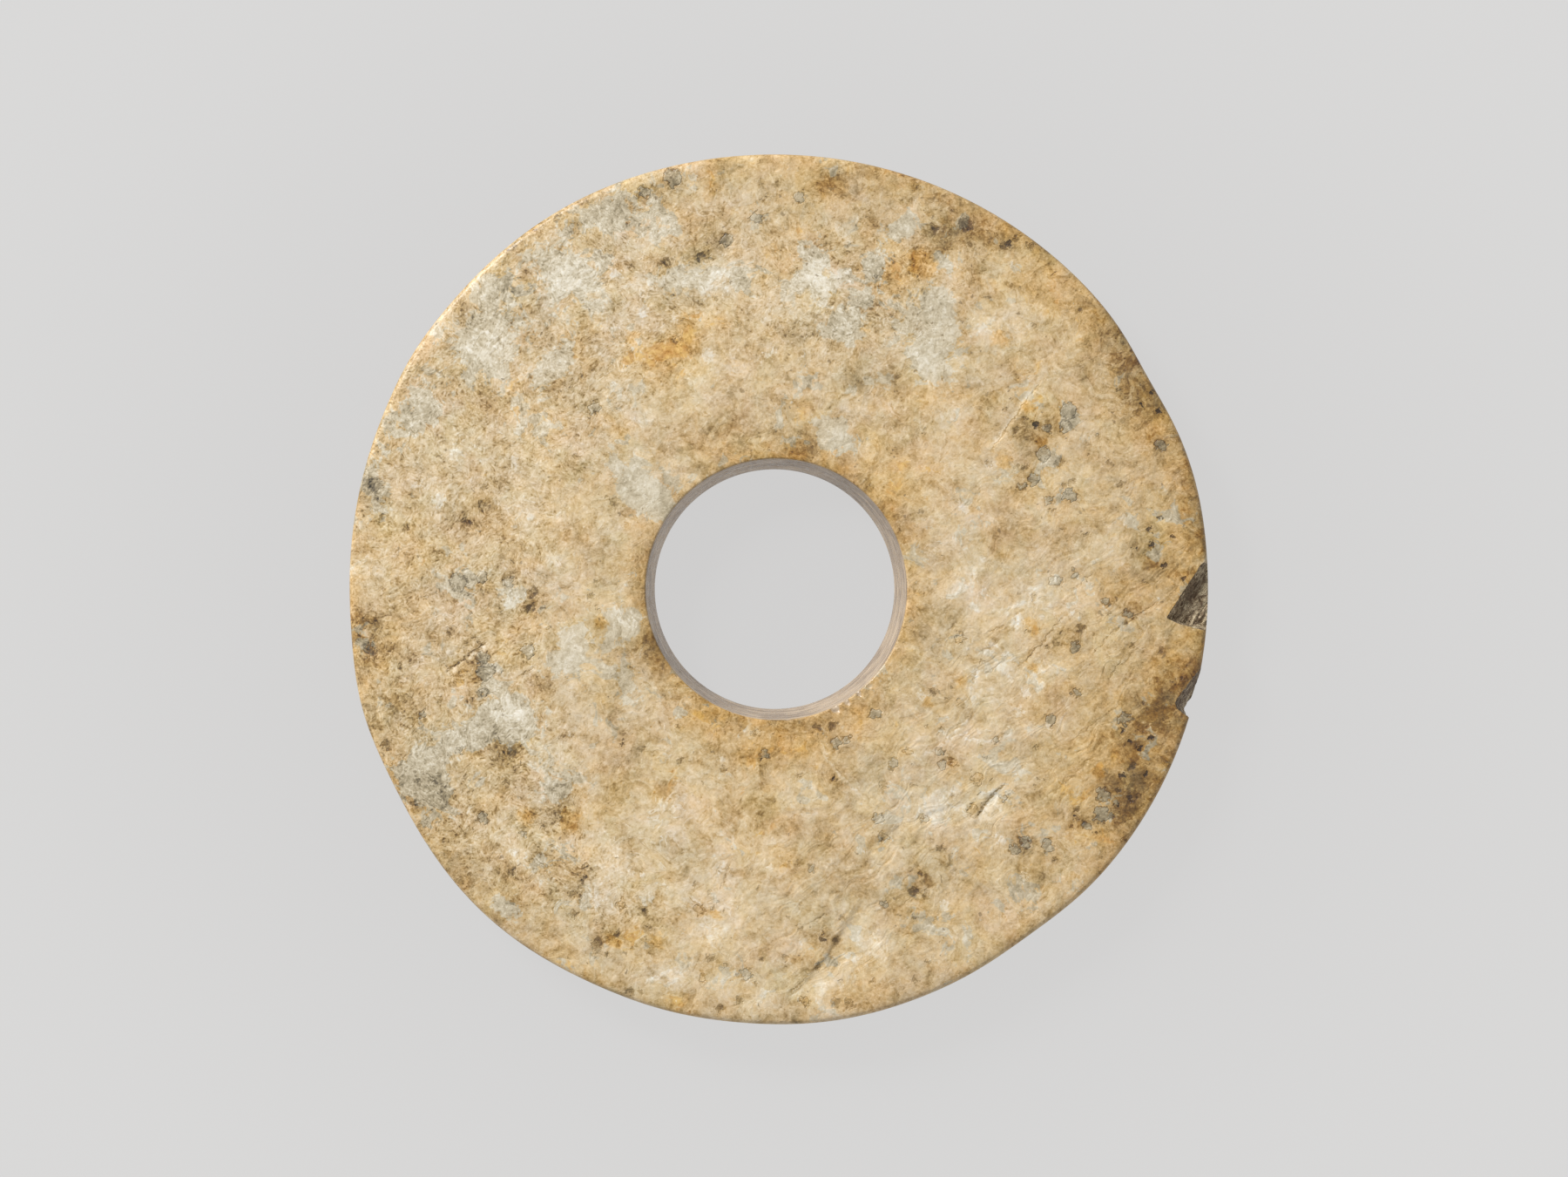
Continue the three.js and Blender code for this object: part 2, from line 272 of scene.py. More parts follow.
# ---------------------------------------------------------------------------------------------
# Stains. Burial has turned the green stone cream and tan, left grey-green where it stayed fibrous
# and hard, and let iron in as ochre. Each stain is a soft oval with a ragged edge: x, y, half its
# length, half its width, the way that it runs in degrees from +X, and how strong it is. The
# material gives the slabs a crisp edge.
# One dark oval paints shade and two pale ovals paint part highlight, as noted where they stand.
# ---------------------------------------------------------------------------------------------
stains = {
    "ochre": [
        (-26, 48, 6, 4.5, 10, 1.0), (-20, 51, 5, 3, 20, 0.8), (-14, 56, 7, 2.5, 10, 0.6),
        (-32, 33, 3, 2.5, 90, 0.8), (-37, 34.5, 4, 2, 0, 0.4), (-42, 49, 5, 2.5, 105, 0.5),
        (-39, 55, 2.5, 2, 0, 0.5), (-54, 38.5, 3.5, 2.2, 90, 0.6), (-55, 45, 3, 2.5, 90, 0.4),
        (-48, 35, 5, 4, 0, 0.35), (-2, 68, 3.5, 3.5, 0, 0.6), (5, 75, 2.5, 2.5, 0, 0.5),
        (26, 68, 6.5, 5, 90, 0.8), (22, 64, 3, 2, 0, 0.5), (19.5, 77, 3, 2, 90, 0.4),
        (9, 84, 4, 3.5, 90, 0.5), (-14, 86, 3, 3, 0, 0.5), (-6, 87, 3, 2, 0, 0.3), (22, 86, 3, 2, 0, 0.4),
        (42, 76, 4, 3.5, 0, 0.4), (48, 75, 2, 2, 0, 0.4), (60, 60, 8, 5, 130, 0.6),
        (52, 63, 4, 2.5, 0, 0.4), (53, 47, 5, 4, 90, 0.35), (33, 40, 12, 3, 5, 0.4),
        (54, 39, 3, 2.5, 0, 0.5), (79, 36, 3, 3, 0, 0.4), (75, 32, 4, 3, 0, 0.3), (26, 24, 5, 4, 90, 0.7),
        (33, 24, 2.5, 2.5, 0, 0.6), (23, 18, 5, 4, 60, 0.5), (20, 29, 5, 3, 90, 0.5),
        (48, 21, 3, 2.5, 90, 0.45), (47, 9, 3, 3, 0, 0.4), (35, 3, 3, 2.5, 0, 0.45), (28, 0, 8, 2, 90, 0.4),
        (26, -12, 4, 2.5, 70, 0.5), (53, -8.5, 2.5, 2.5, 0, 0.6), (53, -15, 3, 3, 0, 0.3),
        (2.5, 30, 3, 2.5, 0, 0.5), (5, 36, 3, 3, 0, 0.5), (-15, 28.5, 5, 2, -20, 0.5),
        (9, 28, 2, 2, 0, 0.35), (-16, -28, 4, 3, -20, 0.8), (-6, -32, 5, 3, 0, 0.5), (3, -33, 5, 3, 0, 0.7),
        (17, -27, 6, 3, 70, 0.5), (-24, -41, 3.5, 3.5, 0, 0.45), (-35, -44, 5, 4, 90, 0.5),
        (0, -47, 8, 5, 0, 0.4), (11, -41, 4, 4, 0, 0.45), (3, -58, 3, 2.5, 0, 0.4),
        (-58, 14, 4, 2.5, 0, 0.4), (-63, 22, 4, 2.5, 90, 0.3), (-75, 6, 8, 3, 0, 0.3),
        (-79, 1, 3, 3, 0, 0.4), (-80, -7, 6, 4, 90, 0.35), (-56, -13, 3.5, 3.5, 0, 0.5),
        (-66, -18, 3, 2.5, 0, 0.5), (-84, -20, 3, 3, 0, 0.4), (-53, -7, 2.5, 2, 90, 0.4),
        (-54, 3, 2.5, 2.5, 0, 0.3), (-50, -22, 2.5, 2.5, 0, 0.45), (-37, -6, 4, 1.5, 90, 0.35),
        (-64.5, -36, 2.5, 2.5, 0, 0.6), (-52.5, -47.5, 2.5, 2, 90, 0.7), (-61, -44, 2.5, 2, 0, 0.45),
        (-44, -47, 3, 2.5, 90, 0.3), (-57, -60.5, 4, 2, 0, 0.3), (-31, -72, 5, 5, 0, 0.45),
        (-43, -78, 9, 2.5, -32, 0.5), (-21, -86, 5, 2.5, 0, 0.6), (-27, -76, 3, 3, 0, 0.3),
        (18, -83, 6, 3, 0, 0.4), (28, -68, 4, 2.5, 10, 0.6), (40, -68, 5, 3, 0, 0.4),
        (42, -56, 5, 4, 0, 0.3), (38, -62, 3, 3, 0, 0.3), (67, -25, 5, 5, 0, 0.5), (66, -35, 6, 4, 0, 0.7),
        (73, -33, 3, 3, 0, 0.4), (60, -42, 5, 4, 0, 0.4), (68, -52, 5, 2.5, 0, 0.5),
        (54, -57, 4, 3, 0, 0.35), (57, -63, 3, 2, 0, 0.4), (36, -38, 2.5, 2.5, 0, 0.4),
        (72, 0, 4, 3, 0, 0.3), (85, -10, 6, 2, 70, 0.4), (-12, -42, 12, 7, 0, 0.35),
        (20, -51, 3, 4, 0, 0.5), (-2, -53, 9, 4, 0, 0.3), (43, 57, 8, 12, 0, 0.2),
        (60, 28, 16, 14, 0, 0.22), (25, 43, 5, 3, 0, 0.3), (-32, 46, 4, 3, 0, 0.3), (-22, 44, 3, 3, 0, 0.3),
        (-66, 10, 8, 3, 0, 0.3), (25, -31, 6, 6, 0, 0.3), (64, -46, 9, 10, 0, 0.3),
        (78, -22, 8, 4, 70, 0.25),
    ],
    "grey": [
        (-45, 66, 14, 7, 40, 0.4), (-44, 63, 5, 3, 0, 0.5), (-35, 79, 8, 4, 20, 0.5),
        (-23, 77, 6, 5, 90, 0.4), (-58, 63, 6, 5, 45, 0.5), (-64, 46, 7, 6, 90, 0.6),
        (-76, 39, 5, 4, 0, 0.6), (-76, 31, 5, 3, 0, 0.5), (-83, 27, 8, 3, 80, 0.4),
        (-50, 58, 10, 6, 30, 0.25), (-4, 78, 3, 3, 0, 0.5), (0, 85, 3, 3, 0, 0.5), (-16, 68, 3, 3, 0, 0.4),
        (-20, 66, 5, 4, 0, 0.3), (9, 67, 8, 4, 0, 0.5), (20, 69, 4, 2.5, 90, 0.7),
        (35, 69, 3.5, 3.5, 0, 0.7), (25, 77, 4, 2.5, 0, 0.5), (14, 56, 4, 3, 0, 0.7),
        (17, 61, 3, 3, 0, 0.5), (32, 58, 4, 2.5, 90, 0.6), (30, 49, 5, 4, 0, 0.6), (37, 50, 3, 3, 0, 0.3),
        (13, 85, 4, 3, 0, 0.5), (6, 43, 3, 2.5, 0, 0.35), (14, 30, 3, 2.5, 90, 0.7),
        (60, 37, 3.5, 3, 90, 0.8), (38, 34, 3, 3, 0, 0.4), (61, 21, 4, 3, 90, 0.4), (56, 26, 4, 3, 0, 0.3),
        (40, 12, 3, 3, 0, 0.3), (-30, 25, 5, 4, 80, 0.6), (-26, 19, 6, 3, -25, 0.7),
        (-39, 5.5, 3, 2.5, 0, 0.6), (-33, 4, 2.5, 2.5, 0, 0.5), (-40, -3, 6, 2.5, 90, 0.35),
        (-44, 0, 6, 2, 90, 0.3), (-67, 1.5, 3, 2.5, 90, 0.6), (-56, -2, 4, 2.5, -20, 0.7),
        (-64, 10, 4, 2.5, 0, 0.35), (-64, -5, 4, 3, 90, 0.3), (-84.5, -12, 4, 3, 90, 0.6),
        (-75, -13, 3, 2.5, 90, 0.4), (-60, -16.5, 3, 2, 0, 0.7), (-44, -16, 3.5, 3, 90, 0.5),
        (-50, -17, 2, 2, 0, 0.3), (-58, -27, 9, 5, -10, 0.6), (-67, -31, 8, 4, 0, 0.6),
        (-76, -37, 7, 5, 110, 0.5), (-41, -26, 3, 3, 0, 0.4), (-62, -40, 3, 3, 0, 0.4),
        (-48, -42, 5, 3, 0, 0.5), (-73, -46, 4, 4, 0, 0.3), (-48, -57, 6, 3, 0, 0.4),
        (-56, -65, 3, 2.5, 0, 0.5), (-45, -68, 4, 3, 0, 0.4), (-24, -34, 3, 3, 0, 0.3),
        (-14, -48, 3, 3, 0, 0.35), (-7, -54, 4, 4, 0, 0.25), (23, -47, 5, 4, 90, 0.45),
        (23, -54, 3, 2.5, 90, 0.5), (33, -50, 5, 2, 0, 0.4), (46, -44, 4, 3, 0, 0.5),
        (49, -52, 3, 2.5, 0, 0.3), (55, -51, 3, 2.5, 0, 0.35), (68, -47, 3, 2.5, 0, 0.4),
        (78, -36, 4, 3, 90, 0.6), (15, -72, 5, 3, 60, 0.6), (3, -85, 4, 3, 90, 0.4),
        (-9, -79, 4, 3, 0, 0.3), (35, -73, 5, 4, 0, 0.4), (48, -63, 4, 4, 0, 0.3), (78, 13, 5, 3, 90, 0.5),
        (79, 4, 3, 2, 90, 0.4), (87, 15, 3, 3, 0, 0.4), (59, 2, 5, 2.5, 0, 0.3),
        (33, -21, 2.5, 2.5, 0, 0.3), (-7, 66, 3, 3, 0, 0.5), (22, 67, 2.5, 3.5, 0, 0.5),
        (-20, 54, 3, 2.5, 0, 0.5), (22, 60, 6, 2, 0, 0.35), (28, 76, 4, 2.5, 0, 0.35),
        (15, 79, 5, 5, 0, 0.2), (-33, -6, 3, 7, 0, 0.4), (-35, -22, 4, 6, 0, 0.35),
        (-20, -23, 6, 3, -30, 0.35), (-66, -41, 4, 7, 25, 0.4), (24, -63, 7, 3, 25, 0.4),
        (9, -78, 3, 4, 30, 0.4), (75, -35, 3, 3, 0, 0.3), (83, 17, 3, 3, 0, 0.35), (-60, -17, 5, 2, 0, 0.3),
        (0, 33, 5, 2.5, 0, 0.35),
    ],
    "slab": [
        (32.5, 49, 8, 4.8, 95, 1.1), (29, 54, 3.5, 3, 0, 0.9), (14, 55, 4.2, 3.2, 0, 1.1),
        (20.3, 68.5, 4, 3, 95, 1.1), (25.5, 76, 4, 3, -20, 1.0), (8, 66, 6.5, 3.4, 80, 1.1),
        (34.5, 68.8, 3.6, 2.6, 80, 1.0), (17, 61, 3, 2, 30, 0.9), (33, 59, 3.6, 1.8, 85, 1.0),
        (13, 31, 4.2, 2.6, 120, 1.0), (9.5, 33.5, 2.6, 2, 0, 0.9), (38.5, 77, 3, 2.2, 0, 0.8),
        (50.5, 66.5, 2.2, 1.6, 60, 0.8), (21, 44, 2.4, 2, 0, 0.7), (15, 42, 2.6, 1.8, 0, 0.7),
        (60.5, 37.5, 2.6, 3.4, 20, 0.9), (-47, 47, 6.6, 3.4, 62, 1.1), (-61, 52, 9, 6, 20, 1.0),
        (-46, 66, 9, 4.5, -25, 1.0), (-36, 78, 8, 3.6, 20, 0.9), (-26.5, 18.5, 7, 3.6, -35, 1.1),
        (-35, 26, 3.5, 2.6, 0, 0.8), (-75, 38, 7, 4, 70, 0.8), (-84, 22, 7, 3, 80, 0.8),
        (-22, 65, 4.5, 3.2, 0, 0.8), (-58, -27, 8, 4.4, -10, 1.0), (-75, -38, 6.5, 5, 110, 1.0),
        (-44, -12, 6, 3.6, 60, 1.0), (-34, -8, 4, 3, 90, 0.9), (-32, -19, 6, 3, -30, 0.8),
        (-47, -43, 5, 3, 0, 0.8), (-66, -31, 6, 3.4, 10, 0.8), (-50, -58, 5, 3, -30, 0.8),
        (-57, -66, 4, 2.6, -40, 0.8), (-67, 2, 3, 2.4, 0, 0.8), (-57, 0, 3.4, 2.2, 0, 0.8),
    ],
    "dark": [
        (-69, 41, 5, 3, 0, 0.5), (-61, 40, 3, 2, 0, 0.4), (-57, 47, 2, 2, 0, 0.4),
        (-44, 45, 1.5, 4, 0, 0.4), (-50, 75, 6, 2.5, 40, 0.5), (-66, 56, 3, 3, 0, 0.4),
        (-58, 56, 3, 3, 0, 0.35), (-36, 80, 5, 2, 20, 0.4), (-24, 68, 4, 2, 0, 0.7),
        (-16, 70, 3, 2, 0, 0.6), (-23, 61, 3, 1.5, 0, 0.4), (-10, 56, 4, 2, 0, 0.5),
        (-24, 84, 4, 2.5, 10, 0.8), (-12, 86, 3, 2.5, 0, 0.6), (-14, 77, 5, 3.5, 0, 0.5),
        (-2, 82, 3, 3, 0, 0.5), (10, 84, 5, 4, -10, 1.0), (20, 77, 2.5, 3, 0, 0.7), (33, 77, 5, 5, 0, 0.6),
        (43, 74, 7, 4, -30, 1.0), (30, 66.5, 3, 4.5, 0, 1.1), (40, 66, 3, 3, 0, 0.8),
        (35, 72, 3, 3, 0, 0.6), (55, 67, 6, 3, -45, 0.3), (66, 57, 8, 4, -50, 0.2),
        (27, 84, 4, 3, -20, 0.6), (10, 54, 2.5, 3, 0, 0.5), (19, 56, 2, 2, 0, 0.3), (27, 55, 3, 3, 0, 0.4),
        (37, 55, 2, 3, 0, 0.4), (18, 43, 3, 3, 0, 0.9), (26, 43, 3, 3, 0, 0.5), (15, 48, 3, 2, 0, 0.3),
        (49, 45, 2.5, 2.5, 0, 0.8), (44, 41, 3, 2, 20, 0.5), (1, 38, 3, 3, 0, 0.8), (5, 34, 3, 3, 0, 0.4),
        (3, 31, 5, 2, 0, 0.4), (-4, 40, 2, 2, 0, 0.4), (-10, 33, 5, 3, 0, 0.5), (50, 33, 3, 3, 0, 0.8),
        (57, 34, 5, 3.5, 0, 0.8), (53, 26, 5, 4, 0, 0.7), (61, 20, 2.5, 2.5, 0, 0.6),
        (52, 20, 4, 2, 0, 0.5), (33, 26, 3, 4, 0, 0.25), (25, 24, 4, 3, 0, 0.1), (46, 8, 3, 2.5, 0, 0.7),
        (76, 38, 10, 4, 110, 0.6), (72, 50, 8, 4, 120, 0.7), (79, 7, 5, 3, 0, 0.5), (70, -2, 2, 3, 0, 0.5),
        (73, -6, 2.5, 2.5, 0, 0.6), (61, -10, 4, 2.5, 0, 0.9), (53, -12, 2, 4, 0, 0.4),
        (75, -30, 10, 4, 60, 0.7), (72, -45, 8, 4, 55, 0.9), (62, -48, 2.5, 2.5, 0, 0.8),
        (79, -24, 8, 4, 70, 0.8), (66, -40, 5, 3, 50, 0.3), (50, -53, 2.5, 3, 0, 0.7),
        (55, -55, 3, 2, 0, 0.3), (29, -62, 3.5, 3, 0, 1.0), (34, -56, 3, 3, 0, 0.5),
        (35, -36, 2.5, 2.5, 0, 0.6), (11, -53, 3, 2, 0, 0.7), (4, -58, 3, 2, 0, 0.5),
        (-3, -45, 2.5, 3, 0, 0.6), (11, -41, 3, 2, 0, 0.5), (18, -48, 4, 2, -30, 0.4),
        (17, -62, 5, 2.5, 0, 0.4), (9, -73, 3, 3, 40, 0.8), (5, -79, 7, 2, 20, 0.5),
        (26, -68, 2.5, 2.5, 0, 0.5), (-35, -73, 4, 3, 0, 0.9), (-26, -74, 3, 3, 30, 0.6),
        (-28, -68, 2.5, 2.5, 0, 0.4), (-16, -78, 5, 2, 0, 0.4), (-43, -61, 3, 4, 0, 0.8),
        (-56, -62, 4, 3, 0, 0.7), (-68, -57, 6, 4, -50, 0.8), (-72, -45, 6, 4, -50, 0.8),
        (-64, -41, 2.5, 2, 0, 0.5), (-80, -34, 8, 4, -60, 0.6), (-78, -24, 3, 4, 80, 0.8),
        (-64, -17, 4, 3.5, 0, 0.9), (-52, -13, 2, 2, 0, 0.6), (-64, -24, 3, 2, 0, 0.5),
        (-57, -34, 3, 6, 15, 1.3), (-52, -48, 2, 2, 0, 0.6), (-45, -47, 3, 3.5, 130, 0.9),
        (-62, -49, 3, 3, 0, 0.4), (-48, -58, 2, 2, 0, 0.3), (-53, -3, 3, 2.5, 0, 0.9),
        (-58, 6, 3, 2, 0, 0.4), (-71, 9, 2, 2, 0, 0.4), (-65, 13.5, 5, 2.5, -10, 0.8),
        (-61, 20, 2.5, 4, 120, 0.6), (-34, 17, 3, 4, 120, 0.6), (-31, 33, 2, 2, 0, 0.4),
        (-85, 22, 2.5, 3, 0, 0.7), (-86, -8, 3, 4, 90, 0.9), (-83, -14, 4, 3, 0, 0.9),
        (-45, 24, 2, 2, 0, 0.3), (-32, -13, 6, 4, 0, 0.7), (-22, -22, 6, 3, -45, 0.2),
        (-20, -28, 4, 3, 0, 0.3), (-4, -34, 6, 2.5, 0, 0.6), (-25, -40, 2.5, 2, 0, 0.5),
        (-40, -10, 3, 3, 0, 0.4), (-48, -19, 3, 2, 0, 0.4), (-36, 7, 3, 2, 0, 0.4),
        (37, 54, 2, 2.5, 0, 0.4), (0, 80, 3, 2, 0, 0.3), (11, 73, 3, 2, 0, 0.3), (15, 67, 4, 2, 0, 0.3),
        (-41, 5, 3, 2, 0, 0.6), (-76, -21, 2.5, 3, 0, 0.5), (-31, -18, 3.5, 2.5, 20, 0.5),
        (-40, -22, 5, 3, 0, 0.3), (-24, -42, 3, 2.5, 0, 0.35), (-46, -41, 3, 2, 0, 0.3),
        (-43, -50, 3, 2, 0, 0.4), (-42, -67, 5, 3, -40, 0.5), (-14, -67, 4, 2.5, 0, 0.55),
        (-6, -53, 3, 2, 20, 0.45), (-13, -49, 2, 3, 0, 0.3), (11, -54, 2.5, 2.5, 0, 0.3),
        (27, -73, 7, 4, 20, 0.4), (42, -45, 3, 2, 20, 0.45), (60, 13, 4, 2.5, 0, 0.5),
        (62, 38, 3, 3, 0, 0.4), (35, 38, 5, 2.5, 0, 0.35), (57, -7, 4, 3, 0, 0.3),
        (37, 13, 2.5, 2.5, 0, 0.25), (40, 63, 6, 2.5, 0, 0.3), (70, -30, 3, 4, 0, 0.4),
        # The last two ovals run along the two breaks. The one at (85, -1) is painted shade on the wedge's
        # dark cliff; the one at (87, -20) darkens the stone along the sliver's break.
        (71, -43, 4, 4, 0, 0.4), (76, 5, 4, 4, 0, 0.5), (67, 48, 3, 3, 0, 0.3), (87, -20, 5, 2, 55, 0.9),
        (85, -1, 4, 1.2, 55, 0.6),
    ],
    "pale": [
        (-47, 64, 6, 5, 20, 0.6), (-62, 51, 6, 3, 10, 0.7), (-46, 47, 2.5, 5, 90, 0.6),
        (-33, 64, 4, 3, 0, 0.4), (-28, 62, 3, 3, 0, 0.6), (9, 66, 3, 4.5, 90, 1.0), (-14, 65, 5, 3, 0, 0.5),
        (-2, 57, 4, 3, 0, 0.5), (-25, 36, 5, 6, 80, 0.6), (-17, 43, 5, 4, 0, 0.5), (-62, 30, 8, 3, 0, 0.6),
        (-75, 28, 6, 4, 0, 0.4), (-47, 17, 4, 7, 110, 0.8), (-46, 5, 3, 6, 90, 0.8),
        (-44, -10, 3, 4, 90, 0.8), (-56, -2, 3, 2, 0, 0.8), (-34, -6, 3, 3, 0, 0.7),
        (-66, -6, 5, 3, 0, 0.4), (-86, 6, 3, 5, 90, 0.5), (-56, -27, 5, 3, 0, 0.4),
        (-57, -54, 5, 2.5, 0, 0.7), (-32, -60, 8, 6, 60, 0.6), (-22, -43, 8, 4, 20, 0.7),
        (-10, -52, 6, 5, 0, 0.6), (-3, -57, 4, 4, 0, 0.6), (-15, -68, 10, 4, 0, 0.7),
        # The ovals at (10, -84) and (18, -74) lie on the lit slope of the long scar: they are partly its
        # paler, freshly bruised stone and partly a painted highlight.
        (-10, -72, 7, 3, 0, 0.5), (-20, -81, 5, 2, 0, 0.6), (10, -84, 5, 3, 50, 0.9),
        (18, -74, 7, 3.5, 60, 1.0), (33, -45, 7, 3, 10, 0.8), (44, -46, 4, 3, 30, 0.7),
        (40, -31, 5, 4, 0, 0.7), (46, -22, 8, 6, 45, 0.7), (47, -5, 7, 5, 20, 0.7), (58, -1, 6, 4, 20, 0.7),
        (40, 3, 5, 4, 0, 0.5), (38, 14, 6, 4, 40, 0.6), (36, 35, 4, 5, 90, 0.8), (32, 50, 5, 4, 60, 0.6),
        (64, 8, 5, 5, 0, 0.4), (57, 15, 4, 4, 0, 0.4), (64, 22, 4, 4, 0, 0.3), (47, 55, 4, 8, 90, 0.4),
        (14, 38, 5, 3, -20, 0.6), (42, -52, 5, 3, 0, 0.4), (33, -74, 6, 4, 0, 0.3), (24, -57, 3, 3, 0, 0.3),
        (-35, 57, 6, 3, 0, 0.35), (-24, 57, 5, 3, 0, 0.35), (-43, 56, 4, 3, 0, 0.4),
        (-67, 18, 6, 3, 0, 0.45), (6, -73, 3, 3, 0, 0.3), (-18, -60, 8, 5, 0, 0.3),
        (-24, -50, 12, 3, 0, 0.25), (42, 10, 3, 4, 0, 0.35), (36, 28, 4, 3, 0, 0.3),
        (55, -18, 4, 3, 30, 0.3), (32, -33, 10, 4, 10, 0.3), (-82, 10, 4, 6, 0, 0.3),
        (46, -42, 5, 2, 45, 0.8), (36, -46, 5, 1.6, 15, 0.6), (22, -56, 5, 1.6, 45, 0.5),
    ],
    "felted": [
        (-52, 48, 52, 28, 48, 1.0), (-66, -8, 20, 26, 0, 0.8), (-60, -42, 28, 18, -50, 1.0),
        (16, 62, 26, 18, 10, 0.8), (-32, -66, 16, 10, -30, 0.5),
    ],
    "streaked": [
        (46, -32, 44, 26, 38, 1.0), (14, -70, 30, 16, 30, 0.8), (46, 22, 26, 20, 45, 0.5),
        (76, 10, 14, 30, 0, 0.4),
    ],
}


def mark(piece, name, values, on="POINT"):
    """Gives the piece a layer of one number or three at each of its points or faces."""
    vector = values.ndim == 2
    layer = piece.data.attributes.new(name, "FLOAT_VECTOR" if vector else "FLOAT", on)
    layer.data.foreach_set("vector" if vector else "value", np.asarray(values, float).ravel())


def clouds(x, y, size, octaves, seed):
    """Soft noise from about -1 to 1, whose widest clouds are as wide as size."""
    random = np.random.default_rng(seed)
    total = np.zeros_like(x)
    for octave in range(octaves):
        lattice = random.uniform(-1, 1, (128, 128))
        u = x / size * 2**octave + 500
        v = y / size * 2**octave + 500
        column, row = np.floor(u).astype(int), np.floor(v).astype(int)
        across, along = u - column, v - row
        across, along = across * across * (3 - 2 * across), along * along * (3 - 2 * along)
        corner = [[lattice[(row + j) % 128, (column + i) % 128] for i in (0, 1)] for j in (0, 1)]
        lower = corner[0][0] + across * (corner[0][1] - corner[0][0])
        upper = corner[1][0] + across * (corner[1][1] - corner[1][0])
        total += 0.6**octave * (lower + along * (upper - lower))
    return total


def mirrored(z):
    """-1 low down, where the stone wears the stains of its upper face mirrored, and 1 above."""
    return np.where(z < thickness / mm * 0.3, -1, 1)


def lay_stains(piece):
    """Writes how strongly each kind of stain shows at each point of the stone."""
    x, y, z = (points_of(piece) / mm).T
    x = x * mirrored(z)
    ragged_x = x + 1.8 * clouds(x, y, 6, 4, seed=3)
    ragged_y = y + 1.8 * clouds(x, y, 6, 4, seed=4)
    for kind, ovals in stains.items():
        strength = np.zeros_like(x)
        for middle_x, middle_y, half_length, half_width, runs, strong in ovals:
            along, across = turned(ragged_x - middle_x, ragged_y - middle_y, runs)
            strength += strong * np.exp(-((along / half_length) ** 2) - (across / half_width) ** 2)
        mark(piece, kind, strength)


lay_stains(disc)
